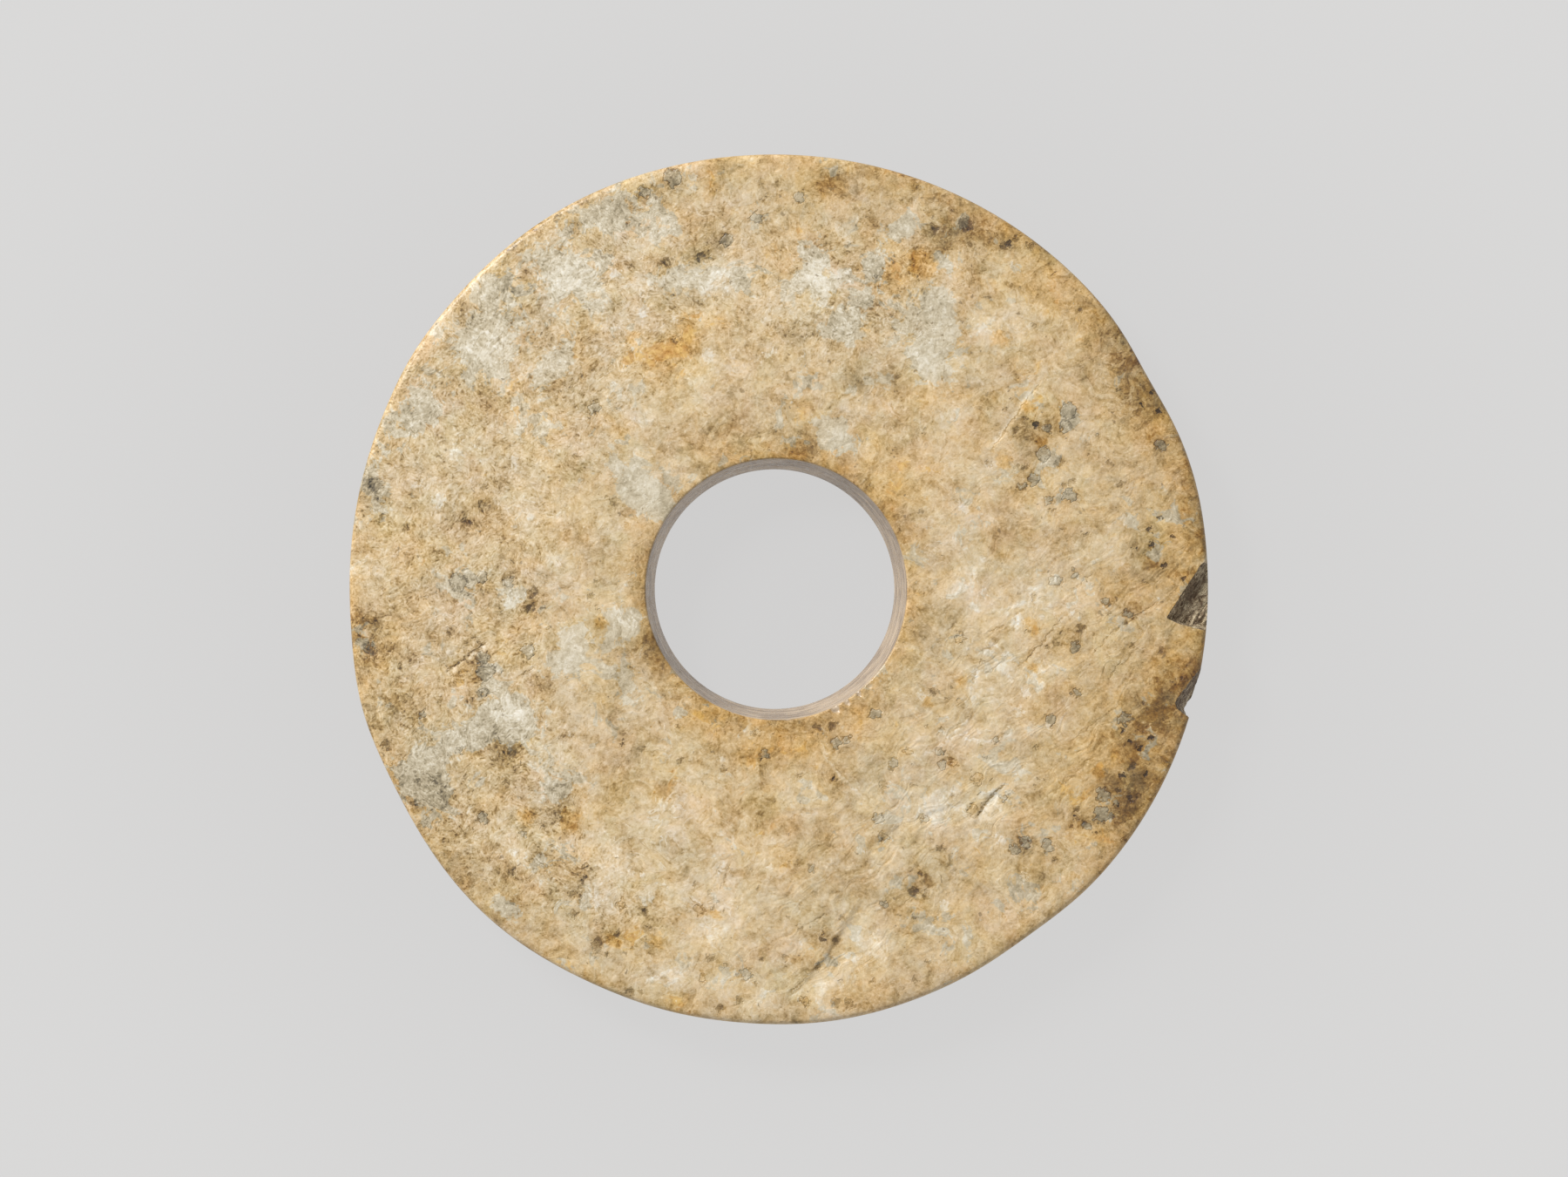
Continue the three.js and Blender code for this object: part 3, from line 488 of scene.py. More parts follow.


# ---------------------------------------------------------------------------------------------
# Pits, grains and cracks of the upper face, left where softer or harder minerals were bedded in
# the nephrite and where it was struck or scratched. Each pit or grain is x, y and radius. Each
# line runs so that its wall, darkened with painted shade, is on the left and its bright side, paler
# bruised stone with a painted highlight, is on the right.
# ---------------------------------------------------------------------------------------------
spots = {
    "pit": [
        (43.3, -35.4, 0.5), (34, -29.4, 0.5), (54.2, -39.5, 0.4), (55.5, -39.7, 0.4), (53.5, -41, 0.4),
        (62.3, -46, 0.8), (62.3, -48, 0.7), (61.3, -49.3, 0.5), (57.8, -56.6, 0.65), (56, -54.6, 0.4),
        (36, -56, 0.4), (36.4, -59.3, 0.6), (34, -54, 0.7), (69.2, -47.3, 0.9), (71, -42.3, 0.6),
        (73.5, -44, 0.7), (67.3, -47.5, 0.6), (40.2, -38, 0.35), (53.7, -33.2, 0.5), (72.5, -52.5, 0.6),
        (67.5, -59, 0.5), (36.6, -43.3, 0.4), (74, -36.8, 0.9), (72.5, -7.2, 0.6), (70.8, -2.2, 0.4),
        (57.8, -11.2, 0.75), (56.3, -12.1, 0.4), (59, -9.2, 0.5), (63.3, -8.3, 0.9), (51.8, -8.9, 0.4),
        (69, -5, 0.5), (74, -11.8, 0.5), (80, -12.8, 0.6), (82.2, -19.1, 0.4), (84.2, -18.9, 0.4),
        (76.3, -23.8, 0.5), (76.5, 1.8, 0.5), (53.3, -1.8, 0.6), (63.5, -5.4, 0.5), (53.9, 34.1, 0.55),
        (49.4, 33, 0.8), (51.3, 36, 0.5), (47.7, 37.7, 0.35), (45.4, 23.3, 0.45), (44, 26.3, 0.8),
        (49.9, 25.8, 0.4), (51.5, 25.7, 0.6), (58.7, 26.6, 1.0), (59.8, 21.8, 0.6), (61.4, 22.4, 0.7),
        (64.3, 11.5, 0.6), (58.9, 12.4, 0.4), (69.2, 26.4, 0.5), (66.6, 32.2, 0.6), (64.4, 28.2, 0.4),
        (57.2, 16.5, 0.4), (70.7, 17.2, 0.4), (71.5, 22, 0.7), (61.6, 33.5, 0.7), (71, 41.6, 0.35),
        (30.5, 33, 0.4), (20.6, 65.4, 0.4), (7.6, 70.4, 0.4), (24.3, 54.5, 0.4), (23.9, 57.4, 0.4),
        (43.8, 60.7, 0.45), (53.4, 55.1, 0.4), (47.2, 72, 0.9), (49.6, 73.3, 0.7), (52.6, 71.8, 0.8),
        (29.2, 83.8, 0.4), (39.3, 76.3, 1.6), (32.4, 75.6, 0.8), (63.3, 58.5, 0.5), (-30.7, 67.1, 0.8),
        (-21.7, 52.1, 0.6), (-2.6, 82.3, 0.5), (-16.4, 69.6, 1.0), (-14.4, 69, 0.6), (0.1, 64.7, 0.6),
        (-23.4, 68.4, 1.0), (-13.1, 60.6, 0.6), (-36.3, 64.3, 0.6), (-29.4, 76.5, 0.4), (-46.4, 77.6, 0.6),
        (-38.2, 53.1, 0.4), (-84.4, 21.9, 1.6), (-84.2, 19.1, 0.5), (-83, 15, 0.8), (-78, 12.9, 0.8),
        (-65.4, 14.2, 1.1), (-61.5, 21.3, 0.8), (-61.7, 17.2, 1.2), (-35.8, 19.4, 0.5), (-34.5, 18.3, 1.0),
        (-42.4, 27.5, 0.8), (-51.6, -0.8, 1.2), (-51.9, -4, 1.3), (-49.5, -3.8, 0.5), (-38.1, 1.8, 0.4),
        (-39.2, -1.4, 0.5), (-37.9, -3.9, 0.4), (-62.6, -11.2, 0.5), (-68.6, -8.7, 1.0),
        (-85.5, -12.5, 1.6), (-73.9, -1.9, 0.6), (-55, -33.6, 1.8), (-54.6, -37.4, 0.6),
        (-65.6, -39.2, 0.6), (-64.6, -42.5, 0.5), (-57.1, -40.6, 0.6), (-49.2, -49.4, 0.7),
        (-46.3, -47.5, 0.6), (-47.3, -53.9, 0.4), (-40.4, -58.3, 0.5), (-41, -60.8, 0.4),
        (-42.9, -63.7, 1.0), (-42.75, -68, 0.9), (-38.2, -69.5, 0.4), (-32.8, -32.2, 0.35),
        (-43.4, -30.7, 0.4), (-64.1, -23.2, 0.5), (-70.1, -52.7, 0.4), (-74.7, -49.1, 0.8),
        (-76.1, -45, 0.8), (-71.4, -40, 1.0), (-82, -32.6, 1.0), (-79, -16.2, 0.7), (-56, -59, 0.8),
        (-33.9, -72.2, 0.7), (-30.9, -74.8, 0.5), (-28, -67.2, 0.9), (-29.3, -64.4, 0.5),
        (-27.3, -70.9, 0.5), (-17.6, -61.5, 0.35), (-14.6, -63.4, 0.5), (-12.5, -65.3, 0.45),
        (-13.8, -66.8, 0.6), (-11.1, -78.8, 0.5), (-14.1, -77.2, 0.9), (-31.2, -84.3, 0.7),
        (-29.1, -84.1, 0.4), (-12.4, -87.6, 1.0), (-35.7, -76.3, 0.6), (-38, -74.3, 1.3), (28.2, -63, 1.1),
        (30.8, -64, 0.7), (29.8, -59, 0.5), (12, -73.5, 0.8), (9.2, -72.3, 0.6), (8.4, -79, 0.7),
        (1.4, -77.1, 0.6), (-3.3, -77.5, 0.5), (4.6, -70.7, 0.4), (1.8, -68.4, 0.4), (13.2, -68.6, 0.4),
        (28.4, -68.6, 0.4), (31.3, -78, 0.5), (34.4, -73, 0.5), (2, -57, 0.4), (4.2, -57, 0.4),
        (-4.2, -62.2, 0.5), (-5.4, -58.7, 0.4), (-4.5, -82.5, 0.5), (19.9, -82, 0.6), (28.5, -81.7, 0.5),
        (-8.5, -86, 0.8), (14.8, -87, 1.1), (12, -86.3, 0.9), (32.2, -21.6, 0.7), (34.1, -29.5, 0.6),
        (36.2, -20.5, 0.35), (31, -28.8, 0.6), (35.3, -23, 0.4), (37.6, -23, 0.3), (42.5, -15.2, 0.4),
        (52.3, -8.9, 0.4), (11.7, -39.6, 0.6), (8, -28.8, 0.9), (11.2, -28.6, 0.9), (-1, -30.2, 0.3),
        (-11.5, -37.5, 0.7), (-28.5, -33.6, 0.7), (-21, -28.7, 0.4), (-20.5, -36, 0.6), (-5, -30.2, 0.6),
        (4.5, -39, 0.6), (22, -40.5, 1.1), (28, -41, 0.8), (-16, -40.5, 0.4),
    ],
    "hole": [
        (53.9, 34.1, 0.6), (-37.9, -3.9, 0.4), (-32.8, -32.2, 0.4), (-16.5, 69.6, 0.7), (-21.7, 52.1, 0.5),
        (57.8, -11.2, 0.6), (-40.4, -58, 0.5), (-40.7, -60, 0.45), (39.4, 76.4, 0.9), (48, 72.3, 0.6),
        (-51.6, -1.2, 0.7), (-54.6, -33.4, 0.8), (69.3, -47.2, 0.6), (73.8, -36.9, 0.6), (62.3, -47.2, 0.5),
        (28.4, -62.8, 0.7), (33.9, -54, 0.4), (77.8, 41.2, 0.5), (79.5, 37.2, 0.6), (76.2, 38.6, 0.4),
        (78.2, 9.5, 0.6), (80.6, 5.2, 0.6), (77.4, 12.6, 0.5), (82.3, 11.2, 0.5), (79.8, 14.8, 0.5),
        (74.8, 8.2, 0.45), (84.6, 2.4, 0.5), (71.8, -29.6, 0.5), (75.6, -33.4, 0.7), (77.9, -31, 0.6),
        (73.4, -31.8, 0.5), (76.8, -38.8, 0.5), (71.9, -38.9, 0.45), (70.6, -45.2, 0.5), (66.6, -50.8, 0.4),
        (-3.6, -35.6, 0.4), (9.1, -73.1, 0.5), (-34.2, -72.6, 0.5), (21.6, -40.8, 0.6), (-59.9, -16.2, 0.5),
    ],
    "grain": [
        (68.4, -2.7, 0.8), (73, -5.2, 0.9), (62, -12, 1.0), (56.7, 18.7, 0.9), (61, 19.7, 1.3),
        (-10.8, 73.1, 1.3), (-4.6, 77.6, 1.2), (4.4, 82.1, 1.2), (-22.1, 86.1, 2.0), (-28.1, 82.9, 1.2),
        (-66.9, 1.6, 1.8), (-62.1, 2.4, 1.0), (-56.6, 1.6, 1.3), (-52.3, -12.8, 1.5), (-62.1, -14.3, 1.3),
        (-66.5, -33.7, 0.6), (-53.3, -51.2, 0.7), (-61.4, -17.2, 1.8), (-61.6, -21.4, 0.8),
        (-74.3, -26, 0.8), (-61.8, -47.9, 1.2), (7, -58.3, 0.8), (-7, -80.5, 1.2), (22, -66, 0.8),
        (49.5, -54.3, 1.2), (51.5, -53, 1.3), (56.3, -53.6, 1.1), (34.3, -36.6, 0.9), (67.5, -47, 1.6),
        (64.2, -49.6, 0.8), (72.3, -27.2, 1.3), (57, -27.7, 1.2), (68, -43, 1.4), (30.7, -48, 0.8),
        (33.6, -34, 0.8), (47.3, -43.5, 0.8), (62.2, -21.8, 0.9), (58, 1.5, 1.2), (62.2, 3.2, 0.8),
        (60.6, 37.5, 1.6), (56, 33.5, 0.9), (55.5, 28.5, 1.5), (53.5, 23, 1.3), (51, 21.5, 0.8),
        (60, 34, 1.2), (-3, -34.5, 0.9), (12, -32, 1.0), (14, -31.3, 0.8), (24, -36.5, 1.0), (21, -48, 1.1),
        (45.7, -31.5, 0.8), (-38.5, 38, 1.2), (20, -26, 1.2), (80, 30, 1.2),
    ],
    "tan": [
        (-32.9, -66, 0.9), (-16.4, -66.9, 1.0), (-15.75, -81.2, 0.75), (41, -46.2, 1.1), (38, -10.3, 1.0),
        (22, -52, 1.0), (36.6, -36, 0.9), (41.5, -39.5, 1.2), (5.5, -86.2, 0.9), (27, -34, 0.7),
    ],
    "rust": [
        (30.1, 68.1, 3.0), (17.9, 54.9, 0.8), (-37.5, -7.4, 1.4), (-52.9, -47.5, 1.6), (-34.4, -73.7, 1.4),
        (-25.7, -73.5, 1.4), (-12.9, -67.9, 1.0), (67, -38.5, 1.3), (52.5, -7.2, 1.4), (53.5, -16.5, 1.2),
        (-31, 52, 1.2), (46.5, 52.5, 2.0), (55, 30.5, 1.0), (-6, -36, 0.8), (47, 27, 1.6), (31, -23.5, 1.2),
        (-43.6, -48.3, 2.2), (38.5, -19, 0.9), (52, 38.5, 1.2),
    ],
    "white": [
        (-55.7, -2.7, 1.5), (-71.1, 18.9, 1.2), (-75.5, 21.7, 0.9), (-64.3, -46.2, 0.6), (51.8, -21.8, 0.8),
        (39, 17, 1.2), (-34.1, 66, 1.2), (-28.1, 58.3, 1.2), (-22.1, 57, 1.1), (-14.9, 49.1, 1.3),
        (-2.4, 48.9, 1.2), (44.5, -11.5, 1.1), (49.5, -7, 0.9), (54.5, -17.2, 1.0), (41.5, -17.3, 0.7),
        (46.5, -52.5, 1.0), (51, -60, 0.9), (34.5, -66.5, 0.9), (-12, -35, 0.5), (50.5, -26, 0.9),
        (30.5, -22.5, 0.9), (-55.5, 26.5, 1.0), (56.2, -28.6, 0.7),
    ],
}
# Points along the line, how dark the painted shade on its wall is, how pale its bright side is (paler bruised
# stone and a painted highlight), and its depth.
lines = [
    ([(-69.7, -17.5), (-67.5, -15.9), (-64.3, -13.4), (-61, -11.1)], 0.9, 1.0, 0.16),
    ([(-53.7, -18.1), (-50.9, -16.2)], 0.7, 0.6, 0.1),
    ([(-59.2, -18), (-57.5, -17)], 0.8, 0.2, 0.08),
    ([(55.1, 43.9), (51, 38.5), (47.5, 33.5), (44.4, 28.8)], 0.45, 0.8, 0.0),
    ([(41.5, -48), (42, -47), (43.3, -45), (45, -43), (47.3, -40.5)], 1.0, 0.7, 0.0),
    ([(38, -31), (44, -31.5), (49, -29.8)], 0.3, 0.7, 0.05),
    ([(30, -34.5), (35, -31.5), (40, -29)], 0.2, 0.8, 0.06),
    ([(48.5, -39), (52, -36.5)], 0.3, 0.6, 0.05),
    ([(49.8, -16.6), (52, -14.5), (54.4, -11.8), (57, -9), (60, -5.5)], 0.55, 0.35, 0.08),
    ([(65.5, -14), (68, -11), (70, -9), (75, -5.5), (80, -2)], 0.5, 0.3, 0.06),
    ([(69, -19.5), (72, -14), (74, -13.5)], 0.5, 0.1, 0.05),
    ([(61, -0.5), (66, 3.5)], 0.5, 0.2, 0.05),
    ([(2, -84.5), (4.5, -82.6), (6.5, -80.8)], 0.5, 0.0, 0.0),
    ([(8.6, -78.4), (10, -77), (12, -74.6)], 0.35, 0.0, 0.0),
    ([(2.5, -85), (5, -83.2)], 0.2, 0.8, 0.05),
    ([(5.5, -87.8), (7, -86)], 0.6, 0.4, 0.05),
    ([(6, -70), (10, -68)], 0.4, 0.3, 0.05),
    ([(18.5, -59), (21, -57)], 0.1, 0.8, 0.05),
    ([(-13.5, -60), (-12.4, -58.4), (-11.6, -57)], 0.3, 0.8, 0.05),
    ([(-12.2, -62.8), (-10.6, -59.5), (-10, -57.3)], 0.5, 0.1, 0.05),
    ([(-28.3, -81.7), (-25, -80.4), (-21.2, -78.5)], 0.1, 0.9, 0.06),
    ([(9.2, -32.1), (10.6, -35.5), (13, -38.6), (18.1, -43.4)], 0.25, 0.8, 0.05),
    ([(57, 65.5), (58.5, 66.5)], 0.9, 0.0, 0.05),
    ([(11.2, -40.3), (11.8, -38.9)], 1.0, 0.2, 0.08),
    ([(35.5, -8.8), (37.3, -6.7)], 0.4, 0.4, 0.05),
    ([(36.5, -25), (39, -23.2), (42.5, -20.5)], 0.25, 0.6, 0.06),
    ([(35, -31), (38.5, -27.8), (41.5, -25.2)], 0.35, 0.7, 0.07),
    ([(43, -18), (46, -15.8), (47.4, -14.8)], 0.5, 0.5, 0.08),
    ([(40.8, -19.4), (41.4, -17.2), (42, -16.4)], 0.3, 0.7, 0.06),
    ([(49.2, -17.5), (51.5, -15.6)], 0.3, 0.3, 0.05),
    ([(44, -9), (47.5, -7.6)], 0.5, 0.2, 0.05),
    ([(40.5, -13.4), (44, -12.4), (46.5, -10.2)], 0.3, 0.7, 0.06),
    ([(49, -9.2), (49.8, -4.6)], 0.2, 0.8, 0.05),
    ([(-63.9, 2.9), (-60.9, 5)], 0.1, 0.8, 0.04),
    ([(12.2, 58.8), (16.5, 59.6)], 0.1, 0.8, 0.04),
    ([(24.5, -62.5), (29, -57.8)], 0.3, 0.5, 0.06),
    ([(60, -33), (66, -28), (71, -24.5)], 0.35, 0.3, 0.06),
    ([(55, -44), (60.5, -40), (66, -34.5)], 0.3, 0.35, 0.06),
    ([(25.5, -66), (30, -63.2), (33.6, -61.2)], 0.35, 0.4, 0.05),
    ([(44.8, -58.5), (50, -54.6), (54, -52)], 0.25, 0.4, 0.05),
    ([(17, -52), (21.5, -47.6), (26, -44)], 0.25, 0.5, 0.06),
]


feature_reach = 2.5  # how far from its edge a spot or a line still colours the stone
no_spot = -9.0  # the radius that is written where no spot is near
scales_run = 42  # the way of the scaly grain at the lower right, in degrees from +X


def nearest_spots(x, y):
    """For each point its nearest spot's kind, x, y and radius, and how far it is from that edge."""
    table = [(number, *spot) for number, kind in enumerate(spots) for spot in spots[kind]]
    nearest = np.zeros((len(x), 4))
    gap = np.full(len(x), 1e6)
    for spot in table:
        away = np.hypot(x - spot[1], y - spot[2]) - spot[3]
        closer = away < gap
        gap[closer] = away[closer]
        nearest[closer] = spot
    return nearest, gap


def beside(points, x, y):
    """For each place: its share of the way along the line, its gap to it, and the line's own sides.

    The sides are three numbers a, b and c, with a * x + b * y + c = how far the place is to the right.
    """
    share, gap, sides = np.zeros_like(x), np.full_like(x, 1e6), np.zeros((len(x), 3))
    for count, (start, end) in enumerate(zip(points, points[1:])):
        along = Vector(end) - Vector(start)
        part = ((x - start[0]) * along.x + (y - start[1]) * along.y) / along.length_squared
        held = np.clip(part, 0, 1)
        away = np.hypot(x - start[0] - held * along.x, y - start[1] - held * along.y)
        closer = away < gap
        gap[closer] = away[closer]
        share[closer] = (count + part[closer]) / (len(points) - 1)
        a, b = along.y / along.length, -along.x / along.length
        sides[closer] = (a, b, -a * start[0] - b * start[1])
    return share, gap, sides


def to_the_right(sides, x, y):
    return sides[:, 0] * x + sides[:, 1] * y + sides[:, 2]


def nearest_lines(x, y):
    """For each point its nearest line's sides, and how dark, pale and deep that line is there."""
    strengths, found = np.zeros((len(x), 3)), np.zeros((len(x), 3))
    nearest = np.full(len(x), feature_reach)
    for points, dark, pale, depth in lines:
        share, gap, sides = beside(points, x, y)
        fade = smooth(-0.06, 0.12, share) * (1 - smooth(0.88, 1.06, share))
        closer = gap < nearest
        nearest[closer] = gap[closer]
        strengths[closer] = np.column_stack([dark * fade, pale * fade, depth * fade])[closer]
        found[closer] = sides[closer]
    return found, strengths


# Scars cut with a steep wall on the left of their line and a long slope on its right: the points
# of the wall's foot, how wide the slope is, and how deep it starts.
scars = [
    ([(-1, -89), (4.5, -82.8), (10, -77.2), (13, -72.4), (16, -67), (20, -61.5)], 8.5, 0.42),
    ([(41.2, -49.5), (42, -47), (43.3, -45), (45, -43), (48, -39.5)], 6.0, 0.5),
    ([(27.5, -48.5), (33, -46.5), (40, -44.8)], 6.0, 0.35),
    ([(17, -56.5), (21.5, -52), (28.5, -46.5)], 5.0, 0.3),
    ([(55.3, 44.4), (51, 38.6), (47.5, 33.6), (43.8, 28)], 2.4, 0.22),
]
# Chips off the arris of the bore and of the rim: x, y, reach and depth.
chips = [
    (1.9, -26.9, 0.8, 0.45), (11.9, -25.0, 1.2, 0.4), (14.4, -23.6, 1.0, 0.35), (16.8, -22.0, 1.2, 0.45),
    (18.9, -20.2, 0.8, 0.3), (-9.5, -25.6, 0.6, 0.25), (80.8, 38.0, 1.8, 0.4), (-88.2, 6, 1.5, 0.3),
    (61.5, 63.6, 1.6, 0.3), (-60.5, -63.5, 1.8, 0.35), (68.8, -55.8, 1.6, 0.35), (36, -82.4, 2.0, 0.3),
    (87.6, 18.0, 1.5, 0.35), (-86.8, 26.5, 1.8, 0.3), (-47.5, -73.4, 1.5, 0.3), (75.6, -46.2, 1.4, 0.35),
    (10, 91, 1.8, 0.3),
]


def carve(piece):
    """Lowers the upper face by its scars, grooves, pits and chips, and by the grain's slight waves."""
    places = points_of(piece) / mm
    x, y, z = places.T
    face = thickness / mm
    rough = clouds(x, y, 2.2, 3, seed=31)
    lower = np.zeros_like(x)
    for foot, width, depth in scars:
        share, gap, sides = beside(foot, x, y)
        right = to_the_right(sides, x, y) + 0.35 * rough
        slope = smooth(-0.9, 0.5, right) * (1 - np.clip(right / width, 0, 1)) ** 1.3
        lower = np.maximum(lower, depth * slope * smooth(-0.02, 0.3, share) * (1 - smooth(0.7, 1.02, share)))
    sides, strengths = nearest_lines(x, y)
    right = to_the_right(sides, x, y)
    lower += strengths[:, 2] * smooth(-0.4, 0, right) * (1 - smooth(0, 1.1, right))
    spot, gap = nearest_spots(x, y)
    sunk = np.where(spot[:, 0] < 2, 0.16 * np.clip(spot[:, 3], 0, 1.2), 0)
    lower += sunk * (1 - smooth(-0.6, 0.25, gap))
    along, across = turned(x, y, scales_run)
    scaly = np.clip(layer_of(piece, "streaked"), 0, 1)
    lower += 0.05 * clouds(x, y, 15, 3, seed=33)
    lower += (0.015 + 0.05 * scaly) * clouds(along / 4, across, 2.6, 3, seed=34)
    # Only the skin of the upper face is lowered, not the walls below it.
    z = z - lower * (1 - smooth(0.75, 1.3, face - z)) * smooth(0.7, 0.95, z / face)
    for chip_x, chip_y, reach, chip_depth in chips:
        away = np.hypot(x - chip_x, y - chip_y) / reach + 0.3 * rough
        z = z - chip_depth * (1 - smooth(0.2, 1, away)) * smooth(0.8, 0.95, z / face)
    move_points(piece, np.column_stack([x, y, z]) * mm)


def from_bore_mouth(x, y):
    return np.hypot(x - bore_mouth["x"] / mm, y - bore_mouth["y"] / mm) - bore_mouth["radius"] / mm


def edge_grime_and_shade(x, y):
    """How much brown dirt has settled along the rim and the bore, in each direction, with painted shade in
    the broad dark band along the right of the rim, away from the light.
    """
    turn = np.degrees(np.arctan2(y, x))

    def toward(direction, spread):
        return np.exp(-((((turn - direction + 180) % 360 - 180) / spread) ** 2))

    from_rim = outline(turn) / mm - np.hypot(x, y)
    from_bore = from_bore_mouth(x, y)
    # Brown dirt all round the rim, and painted shade in the strong, wide band towards the right, away from
    # the light.
    rim = 0.4 + 1.35 * toward(-5, 34) + 0.65 * toward(60, 40) + 0.5 * toward(185, 24) - 0.35 * toward(262, 22)
    rim_width = 4 + 8 * toward(-12, 42)
    bore = 0.6 + 0.95 * toward(-80, 42) + 0.75 * toward(188, 30) + 0.8 * toward(70, 50)
    bore_width = 4 + 3.5 * toward(-75, 40)
    return rim * np.exp(-np.clip(from_rim, 0, None) / rim_width) + bore * np.exp(
        -((np.clip(from_bore, 0, None) / bore_width) ** 1.5)
    )


def layer_of(piece, name):
    values = np.empty(len(piece.data.vertices))
    piece.data.attributes[name].data.foreach_get("value", values)
    return values


def middles_of(piece):
    middles = np.empty(len(piece.data.polygons) * 3)
    piece.data.polygons.foreach_get("center", middles)
    return middles.reshape(-1, 3)


def mark_features(piece):
    """Writes the nearest pit or grain, the nearest line, the layer of brown dirt and painted shade along the
    edges, and the wall and bore layers.
    """
    x, y, z = (middles_of(piece) / mm).T
    side = mirrored(z)
    spot, gap = nearest_spots(x * side, y)
    radius = np.where(gap < feature_reach, spot[:, 3], no_spot)
    place = np.column_stack([spot[:, 1] * side, spot[:, 2], radius])
    mark(piece, "spot", place, on="FACE")
    look = {
        "pit": (1, 0, 0), "hole": (2, 0, 0), "grain": (0.4, 1, 0), "tan": (0.5, 0.3, 0.5),
        "rust": (0.1, 0, 1), "white": (-1, 0, 0),
    }
    looks = np.array([look[name] for name in spots])
    mark(piece, "spot_look", looks[spot[:, 0].astype(int)], on="FACE")
    sides, strengths = nearest_lines(x * side, y)
    sides[:, 0] *= side
    mark(piece, "line_sides", sides, on="FACE")

    x, y, z = (points_of(piece) / mm).T
    side = mirrored(z)
    mark(piece, "line", nearest_lines(x * side, y)[1])
    # Brown dirt along the edges, with painted shade along the right of the rim.
    mark(piece, "grime", edge_grime_and_shade(x * side, y))
    from_bore = from_bore_mouth(x, y)
    edge_gap = np.minimum(thickness / mm - z, z)
    mark(piece, "bored", smooth(0.1, 0.4, edge_gap) * (from_bore < 3))
    mark(piece, "walled", smooth(0.8, 1.6, edge_gap) * (from_bore > 30))


carve(disc)
mark_features(disc)


# ---------------------------------------------------------------------------------------------
# The jade: calcified nephrite with a soft hand polish. Its body is a felt of fine fibres in tufts
# that lie every way, cream to tan, with cloudy grey-green patches, ochre iron stains, brown dirt
# near the edges and dark specks in its pores. Painted shade darkens the rim on the right and the
# wall of each placed line, and a painted highlight lightens the line's other side.
# ---------------------------------------------------------------------------------------------
class Wire:
    """A socket of a material, on which arithmetic adds Math nodes."""

    def __init__(self, tree, socket=None):
        self.tree = tree
        self.socket = socket

    def node(self, kind, settings, sockets, output=0):
        """Adds a node, with its settings first and then the values or links of its sockets."""
        made = self.tree.nodes.new(kind)
        for name, value in settings.items():
            if name == "stops":
                self.set_stops(made.color_ramp, value)
            else:
                setattr(made, name, value)
        for name, value in sockets.items():
            if isinstance(value, Wire):
                self.tree.links.new(value.socket, made.inputs[name])
            else:
                made.inputs[name].default_value = value
        return Wire(self.tree, made.outputs[output])

    def set_stops(self, ramp, stops):
        while len(ramp.elements) < len(stops):
            ramp.elements.new(1)
        for element, (position, colour) in zip(ramp.elements, stops):
            element.position = position
            element.color = colour

    def math(self, operation, *others):
        """A Math node on this value and, where the operation takes them, on others."""
        return self.node("ShaderNodeMath", {"operation": operation}, dict(enumerate((self, *others))))

    def __add__(self, other):
        return self.math("ADD", other)

    __radd__ = __add__

    def __mul__(self, other):
        return self.math("MULTIPLY", other)

    __rmul__ = __mul__

    def __sub__(self, other):
        return self.math("SUBTRACT", other)

    def __rsub__(self, other):
        return self.node("ShaderNodeMath", {"operation": "SUBTRACT"}, {0: other, 1: self})

    def __truediv__(self, other):
        return self.math("DIVIDE", other)

    def level(self, low, high):
        """0 where the value is low, 1 where it is high, with a soft step between."""
        sockets = {"Value": self, "From Min": low, "From Max": high}
        return self.node("ShaderNodeMapRange", {"interpolation_type": "SMOOTHSTEP"}, sockets)

    def times(self, factor):
        """A vector stretched by a number along each axis, or a number along a vector."""
        return self.node("ShaderNodeVectorMath", {"operation": "MULTIPLY"}, {0: self, 1: factor})

    def axis(self, index):
        """One of a vector's or a colour's three numbers."""
        return self.node("ShaderNodeSeparateXYZ", {}, {0: self}, index)

    def moved(self, shift):
        return self.node("ShaderNodeVectorMath", {"operation": "ADD"}, {0: self, 1: shift})

    def noise(self, size, detail, roughness, seed, output=0):
        """Signed noise that spreads by about 1 round 0, and whose widest clouds are as wide as size."""
        place = self.moved((seed * 31.7, seed * -17.3, seed * 5.1))
        sockets = {"Vector": place, "Scale": 1 / size, "Detail": detail, "Roughness": roughness}
        made = self.node("ShaderNodeTexNoise", {"normalize": False}, sockets, output)
        spread = 0.25 * math.sqrt(sum(roughness ** (2 * octave) for octave in range(detail + 1)))
        return made / spread if output == 0 else made.times((1 / spread,) * 3)

    def warped(self, size, by, seed, detail=3):
        """A place pushed about by by, in swirls as wide as size."""
        push = self.noise(size, detail, 0.6, seed, output=1)
        return self.moved(push.times((by, by, by * 0.5)))

    def over(self, under, colour):
        """The colour laid over another where this mask is 1."""
        sockets = {0: self, 6: under, 7: colour}
        return self.node("ShaderNodeMix", {"data_type": "RGBA"}, sockets, output=2)


def tone(red, green, blue):
    """A colour from 0 to 255, as a screen shows it, before it is turned to linear light."""
    return (red / 255, green / 255, blue / 255, 1)


# From the black of the pores through brown and tan to the whitest fibres.
cream_shades = [
    (0.0, tone(52, 42, 32)),
    (0.12, tone(92, 74, 50)),
    (0.267, tone(137, 113, 74)),
    (0.335, tone(163, 138, 96)),
    (0.433, tone(190, 165, 124)),
    (0.5, tone(202, 179, 141)),
    (0.567, tone(212, 191, 155)),
    (0.665, tone(223, 204, 173)),
    (0.733, tone(231, 214, 186)),
    (1.0, tone(248, 240, 222)),
]
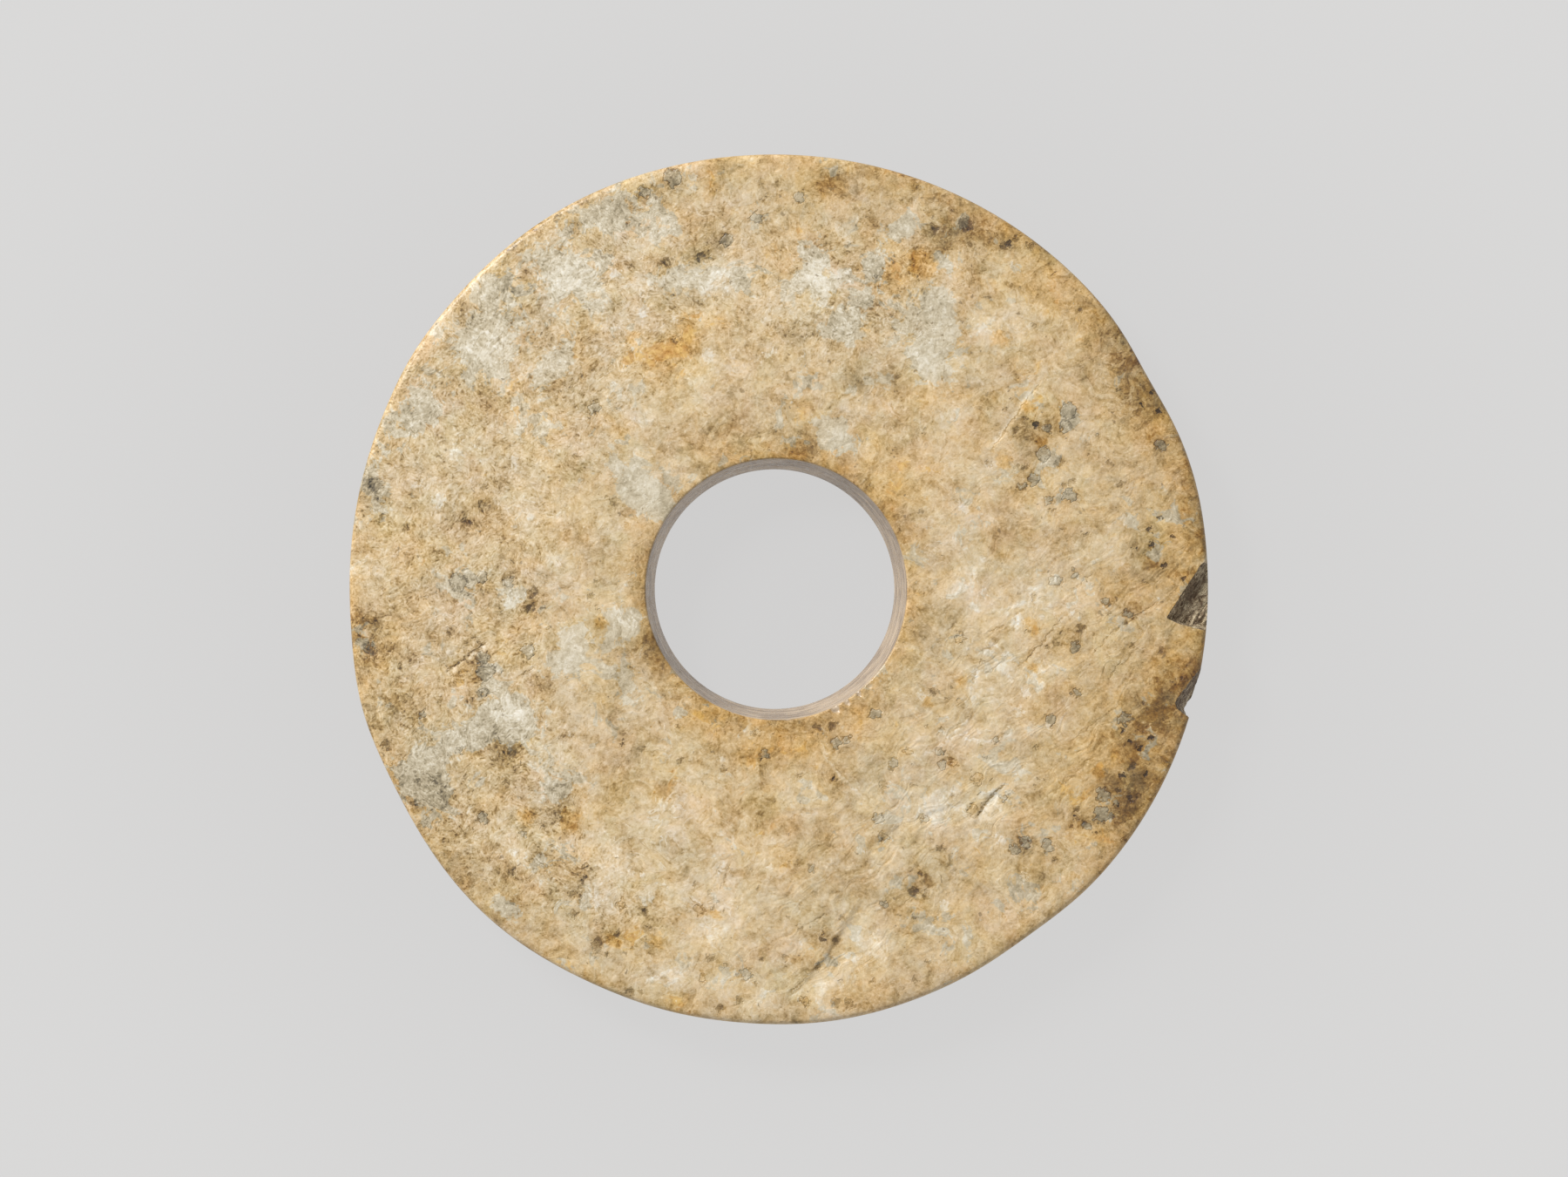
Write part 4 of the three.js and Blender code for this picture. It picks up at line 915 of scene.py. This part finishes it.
# The same shades where the stone stayed hard and kept its grey-green.
hard_shades = [
    (0.0, tone(50, 46, 38)),
    (0.12, tone(88, 80, 64)),
    (0.267, tone(134, 122, 98)),
    (0.335, tone(150, 137, 110)),
    (0.433, tone(177, 163, 134)),
    (0.5, tone(191, 177, 149)),
    (0.567, tone(203, 190, 162)),
    (0.665, tone(219, 208, 184)),
    (0.733, tone(229, 219, 197)),
    (1.0, tone(247, 241, 226)),
]


def tufts(place, size, length, width, seed):
    """Fine fibres, as signed noise, that lie a new way in each tuft."""
    swirled = place.warped(size * 0.8, size * 0.45, seed)
    cells = swirled.node("ShaderNodeTexVoronoi", {}, {"Vector": swirled, "Scale": 1 / size}, "Color")
    lie = cells.node(
        "ShaderNodeVectorRotate",
        {"rotation_type": "Z_AXIS"},
        {"Vector": place.warped(2.5, 0.22, seed, detail=1), "Angle": cells.axis(0) * 6.283},
    )
    return lie.times((1 / length, 1 / width, 1 / width)).noise(1, 0, 0.7, seed)


def specks(place, size, radius, density, seed):
    """Ragged dots of up to the radius, in the given share of cells as wide as size."""
    frayed = place.warped(1.3, radius * 0.4, seed, detail=1)
    wanted = {"Vector": frayed, "Scale": 1 / size}
    distance = frayed.node("ShaderNodeTexVoronoi", {}, wanted, "Distance") * size
    chance = frayed.node("ShaderNodeTexVoronoi", {}, wanted, "Color")
    reach = (0.3 + 0.7 * chance.axis(1)) * radius
    return (reach - distance).level(0.0, radius * 0.4) * (density - chance.axis(0)).level(0.0, 0.02)


def lumps_of(place, size, seed):
    """Broken lumps as wide as size, each with three numbers of its own from -0.5 to 0.5."""
    shifted = place.moved((seed * 13.1, seed * 7.3, 0))
    cells = shifted.node("ShaderNodeTexVoronoi", {}, {"Vector": shifted, "Scale": 1 / size}, "Color")
    return cells.moved((-0.5, -0.5, -0.5))


def placed_spots(place, layer, lumps, crumbs, grit):
    """Where the placed pits and grains show, from how far inside the nearest one each place is."""
    spot = layer("spot", "Vector")
    look = layer("spot_look", "Vector")
    flat_place = place.warped(1.2, 0.22, 24, detail=1).times((1, 1, 0))
    ends = {0: flat_place, 1: spot.times((1, 1, 0))}
    away = place.node("ShaderNodeVectorMath", {"operation": "DISTANCE"}, ends, "Value")
    inside = spot.axis(2) - away
    core = (inside + 0.1 * crumbs + 0.1 * grit).level(-0.12, 0.22)
    ring = (0.26 - (inside + 0.1 * crumbs).math("ABSOLUTE")).level(-0.05, 0.22)
    dark_kind = look.axis(0).level(0.2, 0.35)
    pitted = look.axis(0).level(0.8, 0.9)
    pit = pitted * core * (0.55 + 0.55 * look.axis(0).level(1.2, 1.8))
    shell = dark_kind * (1 - pitted) * (ring + 0.35 * core * grit.level(-0.4, 1.5))
    grey_grain = look.axis(1) * core
    halo = dark_kind * (inside + 0.3 * lumps).level(-1.2, 0.7)
    rust_spot = look.axis(2) * (inside + 0.3 * lumps).level(-0.9, 0.9)
    white_spot = (0 - look.axis(0)).level(0.3, 0.6) * (inside + 0.25 * lumps + 0.2 * grit).level(-0.3, 0.4)
    return pit, shell, grey_grain, halo, rust_spot, white_spot


def placed_lines(place, layer, crumbs):
    """The painted shade on the wall at the left of each placed line, and its paler right side: bruised stone
    with a painted highlight.
    """
    line = layer("line", "Vector")
    on_level = place.warped(1.5, 0.15, 30, detail=2).times((1, 1, 0)).moved((0, 0, 1))
    sides = {0: on_level, 1: layer("line_sides", "Vector")}
    right = place.node("ShaderNodeVectorMath", {"operation": "DOT_PRODUCT"}, sides, "Value")
    wall = (0.24 + 0.08 * crumbs - (right + 0.1).math("ABSOLUTE")).level(0, 0.2) * line.axis(0)
    bruise_and_highlight = right.level(0.02, 0.3) * (1 - (right + 0.2 * crumbs).level(0.5, 1.3)) * line.axis(1)
    return wall, bruise_and_highlight


def jade_material():
    material = bpy.data.materials.new("jade")
    material.use_nodes = True
    tree = material.node_tree
    shader = tree.nodes["Principled BSDF"]
    start = Wire(tree)
    metres = start.node("ShaderNodeTexCoord", {}, {}, "Object")
    place = metres.node("ShaderNodeMapping", {}, {"Vector": metres, "Scale": (1 / mm,) * 3})

    def layer(name, output="Fac"):
        return start.node("ShaderNodeAttribute", {"attribute_name": name}, {}, output)

    stain = {kind: layer(kind) for kind in stains}

    felt = stain["felted"].level(0.15, 0.75)
    streaked = stain["streaked"].level(0.15, 0.75)

    # Broad clouds down to grit, pushed about so that no edge runs straight.
    ragged = place.warped(6, 1.4, 3, detail=1)
    mottle = ragged.noise(10, 1, 0.6, 4)
    patches = place.warped(4, 0.9, 18, detail=1).noise(5, 1, 0.6, 19)
    lumps = place.warped(2.2, 0.45, 20, detail=1).noise(2.3, 1, 0.6, 21)
    crumbs = place.warped(1.6, 0.25, 5, detail=0).noise(1.05, 1, 0.7, 6)
    grit = place.noise(0.42, 1, 0.8, 23)

    # Slabs and smaller lumps of the stone, each of one shade.
    broken_edges = place.warped(8, 2.2, 28, detail=1).warped(1.7, 0.4, 33, detail=1)
    slab = lumps_of(broken_edges, 6.5, 1)
    chunk = lumps_of(broken_edges, 3.2, 2)
    crumb = lumps_of(broken_edges, 1.5, 3)

    # Fibres: signed noise in tufts, and threads that stand out dark or pale.
    tuft_fibres = tufts(place, 7, 4.0, 0.9, 7)
    fine_fibres = tufts(place, 4.5, 1.7, 0.42, 8)
    across = place.node(
        "ShaderNodeVectorRotate",
        {"rotation_type": "Z_AXIS"},
        {"Vector": place.warped(7, 0.9, 9, detail=1), "Angle": -math.radians(40)},
    )
    streaks = across.times((0.12, 0.8, 0.6)).noise(1, 1, 0.6, 10)
    fine_streaks = across.times((0.45, 2.1, 1)).noise(1, 0, 0.8, 29)
    threads = (
        felt * (1 - 0.85 * streaked) * fine_fibres
        + (0.45 - 0.2 * streaked) * fine_streaks
        + 0.45 * grit
    )
    dark_threads = (0 - threads).level(0.8, 2.1)
    pale_threads = threads.level(0.75, 2.1)

    # How far each stain covers the stone: its oval, eaten into by the slabs and the lumps.
    soiled = 0.35 * patches + 0.5 * lumps + 0.6 * chunk.axis(2) + 1.7 * stain["dark"]
    dirt = (soiled - 1.5).level(-0.35, 0.5)
    bleached = 0.3 * mottle - 0.35 * lumps + 0.9 * chunk.axis(0) + 1.5 * stain["pale"]
    bleach = (bleached - 1.25).level(-0.15, 0.3)
    hardness = 0.25 * mottle - 0.15 * lumps + 1.3 * slab.axis(2) + 0.5 * chunk.axis(2)
    fibrous = (hardness + 1.7 * stain["grey"] - 0.85).level(-0.1, 0.15).math(
        "MAXIMUM", (stain["slab"] + 0.1 * lumps + 0.06 * crumbs - 0.45).level(-0.07, 0.07)
    )
    rusted = 0.25 * lumps + 0.5 * slab.axis(1) + 0.9 * chunk.axis(1) + 1.8 * stain["ochre"]
    iron = (rusted - 1.35).level(-0.1, 0.4)
    # Brown dirt along the rim and the bore, and painted shade along the right of the rim.
    grime = layer("grime") * (1 + 0.2 * patches + 0.2 * lumps)

    pit, shell, grey_grain, halo, rust_spot, white_spot = placed_spots(place, layer, lumps, crumbs, grit)
    # The wall of each line carries painted shade, and its right side paler bruised stone with a painted
    # highlight.
    wall, bruise_and_highlight = placed_lines(place, layer, crumbs)

    lightness = (
        0.2
        + 1.25 * stain["pale"]
        - 1.25 * stain["dark"]
        - 0.3 * stain["ochre"]
        - 1.2 * dirt
        + (0.8 + 0.3 * crumbs) * bleach
        + 0.35 * fibrous
        + 0.15 * stain["slab"]
        - 0.25 * iron
        # brown dirt along the edges, and painted shade along the right of the rim
        - 1.25 * grime
        + 0.24 * mottle
        + 0.26 * patches
        + (0.32 - 0.08 * streaked) * lumps
        + (0.24 - 0.05 * streaked) * crumbs
        + 0.18 * grit
        + (1.05 - 0.5 * streaked) * chunk.axis(0)
        + (0.75 - 0.3 * streaked) * crumb.axis(0)
        + 0.25 * felt * tuft_fibres
        + (0.1 + 0.2 * felt) * fine_fibres
        + 0.24 * streaked * streaks
        + (0.08 + 0.04 * streaked) * fine_streaks
        - (0.65 + 0.5 * dirt) * dark_threads
        + (0.7 + 0.8 * bleach) * pale_threads
        - 2.6 * pit
        - 1.2 * shell
        - 0.3 * grey_grain
        - 0.4 * halo
        - 0.9 * rust_spot
        + 1.5 * white_spot
        # painted shade on the walls of the lines, and a painted highlight on their bright sides
        - 2.6 * wall
        + (1.5 + 0.6 * crumbs) * bruise_and_highlight
    )
    hue_clouds = ragged.noise(11, 1, 0.6, 12)
    hue_lumps = place.warped(2.5, 0.6, 13, detail=1).noise(3.4, 1, 0.6, 14)
    warmth = (
        2.2 * stain["ochre"]
        + 0.65
        + 0.25 * hue_clouds
        + 0.22 * hue_lumps
        + 0.7 * chunk.axis(1)
        + 0.35 * crumb.axis(1)
        + 0.6 * iron
        + 1.2 * grime
        + 0.5 * dirt
        + 2.4 * rust_spot
        - 1.0 * white_spot
        - 0.8 * bruise_and_highlight
        - 0.5 * pit
        - 0.5 * bleach
    )
    hard = 0.7 * fibrous + 0.7 * grey_grain + 0.4 * stain["grey"]
    hard = hard - hard * 0.8 * rust_spot

    step = lightness * 0.1 + 0.5
    colour = step.node("ShaderNodeValToRGB", {"stops": cream_shades}, {0: step})
    colour = colour.moved(warmth.times((0.0223, 0.004, -0.021)))
    blush = place.warped(5, 1.2, 31, detail=1).noise(8, 1, 0.6, 32)
    colour = colour.moved(blush.times((0.0015, -0.002, 0.001)))
    hard_colour = step.node("ShaderNodeValToRGB", {"stops": hard_shades}, {0: step})
    colour = hard.level(0.1, 1).over(colour, hard_colour)

    # Iron stain at full strength is a clear ochre.
    rust = (0.8 * patches + 0.5 * crumbs).level(-1.2, 1.2).over(tone(192, 136, 68), tone(224, 180, 92))
    colour = (0.4 * iron).over(colour, rust)

    # Scattered pits, as dark brown dots with ragged edges.
    dots = specks(place, 4.2, 0.75, 0.2 + 0.5 * stain["dark"], 15)
    small_dots = specks(place, 2.0, 0.4, 0.2 + 0.6 * stain["dark"], 16)
    colour = (0.45 * dots).over(colour, tone(118, 98, 66))
    colour = (0.45 * small_dots).over(colour, tone(104, 84, 56))

    # The drilled wall of the bore is smooth and grey-brown, lined by the sand that cut it.
    drilled = place.times((0.12, 0.12, 2.2)).noise(1, 3, 0.8, 25)
    drilled_pale = (0.5 * drilled + 0.25 * mottle + 0.5).level(-0.4, 1.4)
    drilled_colour = drilled_pale.over(tone(138, 119, 99), tone(192, 170, 142))
    colour = layer("bored").over(colour, drilled_colour)

    # The rim's wall keeps its dirt, and the broken surfaces are grey-brown with pale fibres.
    walled = layer("walled") * (0.45 + 0.25 * patches + 0.2 * lumps).level(0, 1)
    colour = (0.6 * walled).over(colour, tone(140, 112, 72))
    splinters = place.node(
        "ShaderNodeVectorRotate",
        {"rotation_type": "Z_AXIS"},
        {"Vector": place.warped(3, 0.35, 26), "Angle": -math.radians(break_runs)},
    ).times((0.25, 1.8, 1.2)).noise(1, 3, 0.75, 27)
    # Where the dark ovals lie on the broken walls they darken them; on the wedge's cliff that is painted
    # shade.
    broken_pale = 0.6 * splinters + 0.3 * lumps + 1.6 * stain["pale"] - 1.2 * stain["dark"]
    broken_colour = broken_pale.level(-1.2, 1.3).over(tone(104, 84, 64), tone(222, 206, 174))
    broken = layer("broken")
    colour = (0.85 * broken).over(colour, broken_colour)

    linear = colour.node("ShaderNodeGamma", {}, {"Color": colour, "Gamma": 2.2})
    tree.links.new(linear.socket, shader.inputs["Base Color"])
    rough = 0.45 + 0.15 * pit + 0.2 * broken - 0.12 * layer("bored") + 0.05 * crumbs
    tree.links.new(rough.socket, shader.inputs["Roughness"])
    height = (
        0.007 * crumbs
        + 0.008 * tuft_fibres
        + 0.02 * chunk.axis(0)
        + 0.014 * streaked * streaks
        - 0.01 * dark_threads
        + 0.008 * pale_threads
        - 0.04 * dots
        - 0.03 * small_dots
        - 0.16 * pit
        - 0.07 * shell
        - 0.1 * wall
        + 0.05 * broken * splinters
    )
    bump = height.node("ShaderNodeBump", {}, {"Height": height, "Distance": mm, "Strength": 1.0})
    tree.links.new(bump.socket, shader.inputs["Normal"])
    shader.inputs["IOR"].default_value = 1.6
    return material


# ---------------------------------------------------------------------------------------------
# Floor, light and camera. The disc lies on a pale floor that glows, with painted shade darkening it
# towards the middle round the disc. All is lit softly from all round, with one long soft light low
# over its upper left.
# ---------------------------------------------------------------------------------------------
def floor_material():
    """Pale grey glow that lightens a little from the middle of the floor outwards: the darker middle is
    painted shade round the disc.
    """
    material = bpy.data.materials.new("pale_floor")
    material.use_nodes = True
    shader = material.node_tree.nodes["Principled BSDF"]
    place = Wire(material.node_tree).node("ShaderNodeTexCoord", {}, {}, "Object")
    away = place.node("ShaderNodeVectorMath", {"operation": "LENGTH"}, {0: place.times((1, 1.2, 0))}, "Value")
    # The darker middle, round the disc and under its bore, is painted shade.
    colour = away.level(0.02, 0.22).over((0.61, 0.604, 0.6, 1), (0.665, 0.66, 0.655, 1))
    material.node_tree.links.new(colour.socket, shader.inputs["Emission Color"])
    shader.inputs["Base Color"].default_value = (0.03, 0.03, 0.03, 1)
    shader.inputs["Roughness"].default_value = 0.9
    shader.inputs["Specular IOR Level"].default_value = 0
    shader.inputs["Emission Strength"].default_value = 1
    return material


disc.data.materials.clear()
disc.data.materials.append(jade_material())
bpy.ops.object.select_all(action="DESELECT")
disc.select_set(True)
bpy.context.view_layer.objects.active = disc
bpy.ops.object.shade_smooth_by_angle(angle=math.radians(40))
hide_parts("bi_disc")
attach(disc, "root")

bpy.ops.object.select_all(action="DESELECT")
bpy.ops.mesh.primitive_plane_add(size=4, location=(0, 0, -0.02 * mm))
floor = bpy.context.object
floor.name = "floor"
floor.data.materials.append(floor_material())

camera_height = 1.2
camera_data = bpy.data.cameras.new("camera")
camera_data.sensor_width = 36
camera_data.lens = 131.7
camera = bpy.data.objects.new("camera", camera_data)
camera.location = (1.09 * mm, 0.18 * mm, thickness + camera_height)
bpy.context.collection.objects.link(camera)
bpy.context.scene.camera = camera

key_data = bpy.data.lights.new("key", "AREA")
key_data.size = 0.9
key_data.energy = 95
key = bpy.data.objects.new("key", key_data)
key.location = (-1.8, 1.8, 1.6)
key.rotation_euler = Vector(key.location).to_track_quat("Z", "Y").to_euler()
bpy.context.collection.objects.link(key)

world = bpy.data.worlds.new("studio")
world.use_nodes = True
world.node_tree.nodes["Background"].inputs["Color"].default_value = (1, 1, 1, 1)
world.node_tree.nodes["Background"].inputs["Strength"].default_value = 0.45
bpy.context.scene.world = world
bpy.context.scene.view_settings.view_transform = "Standard"
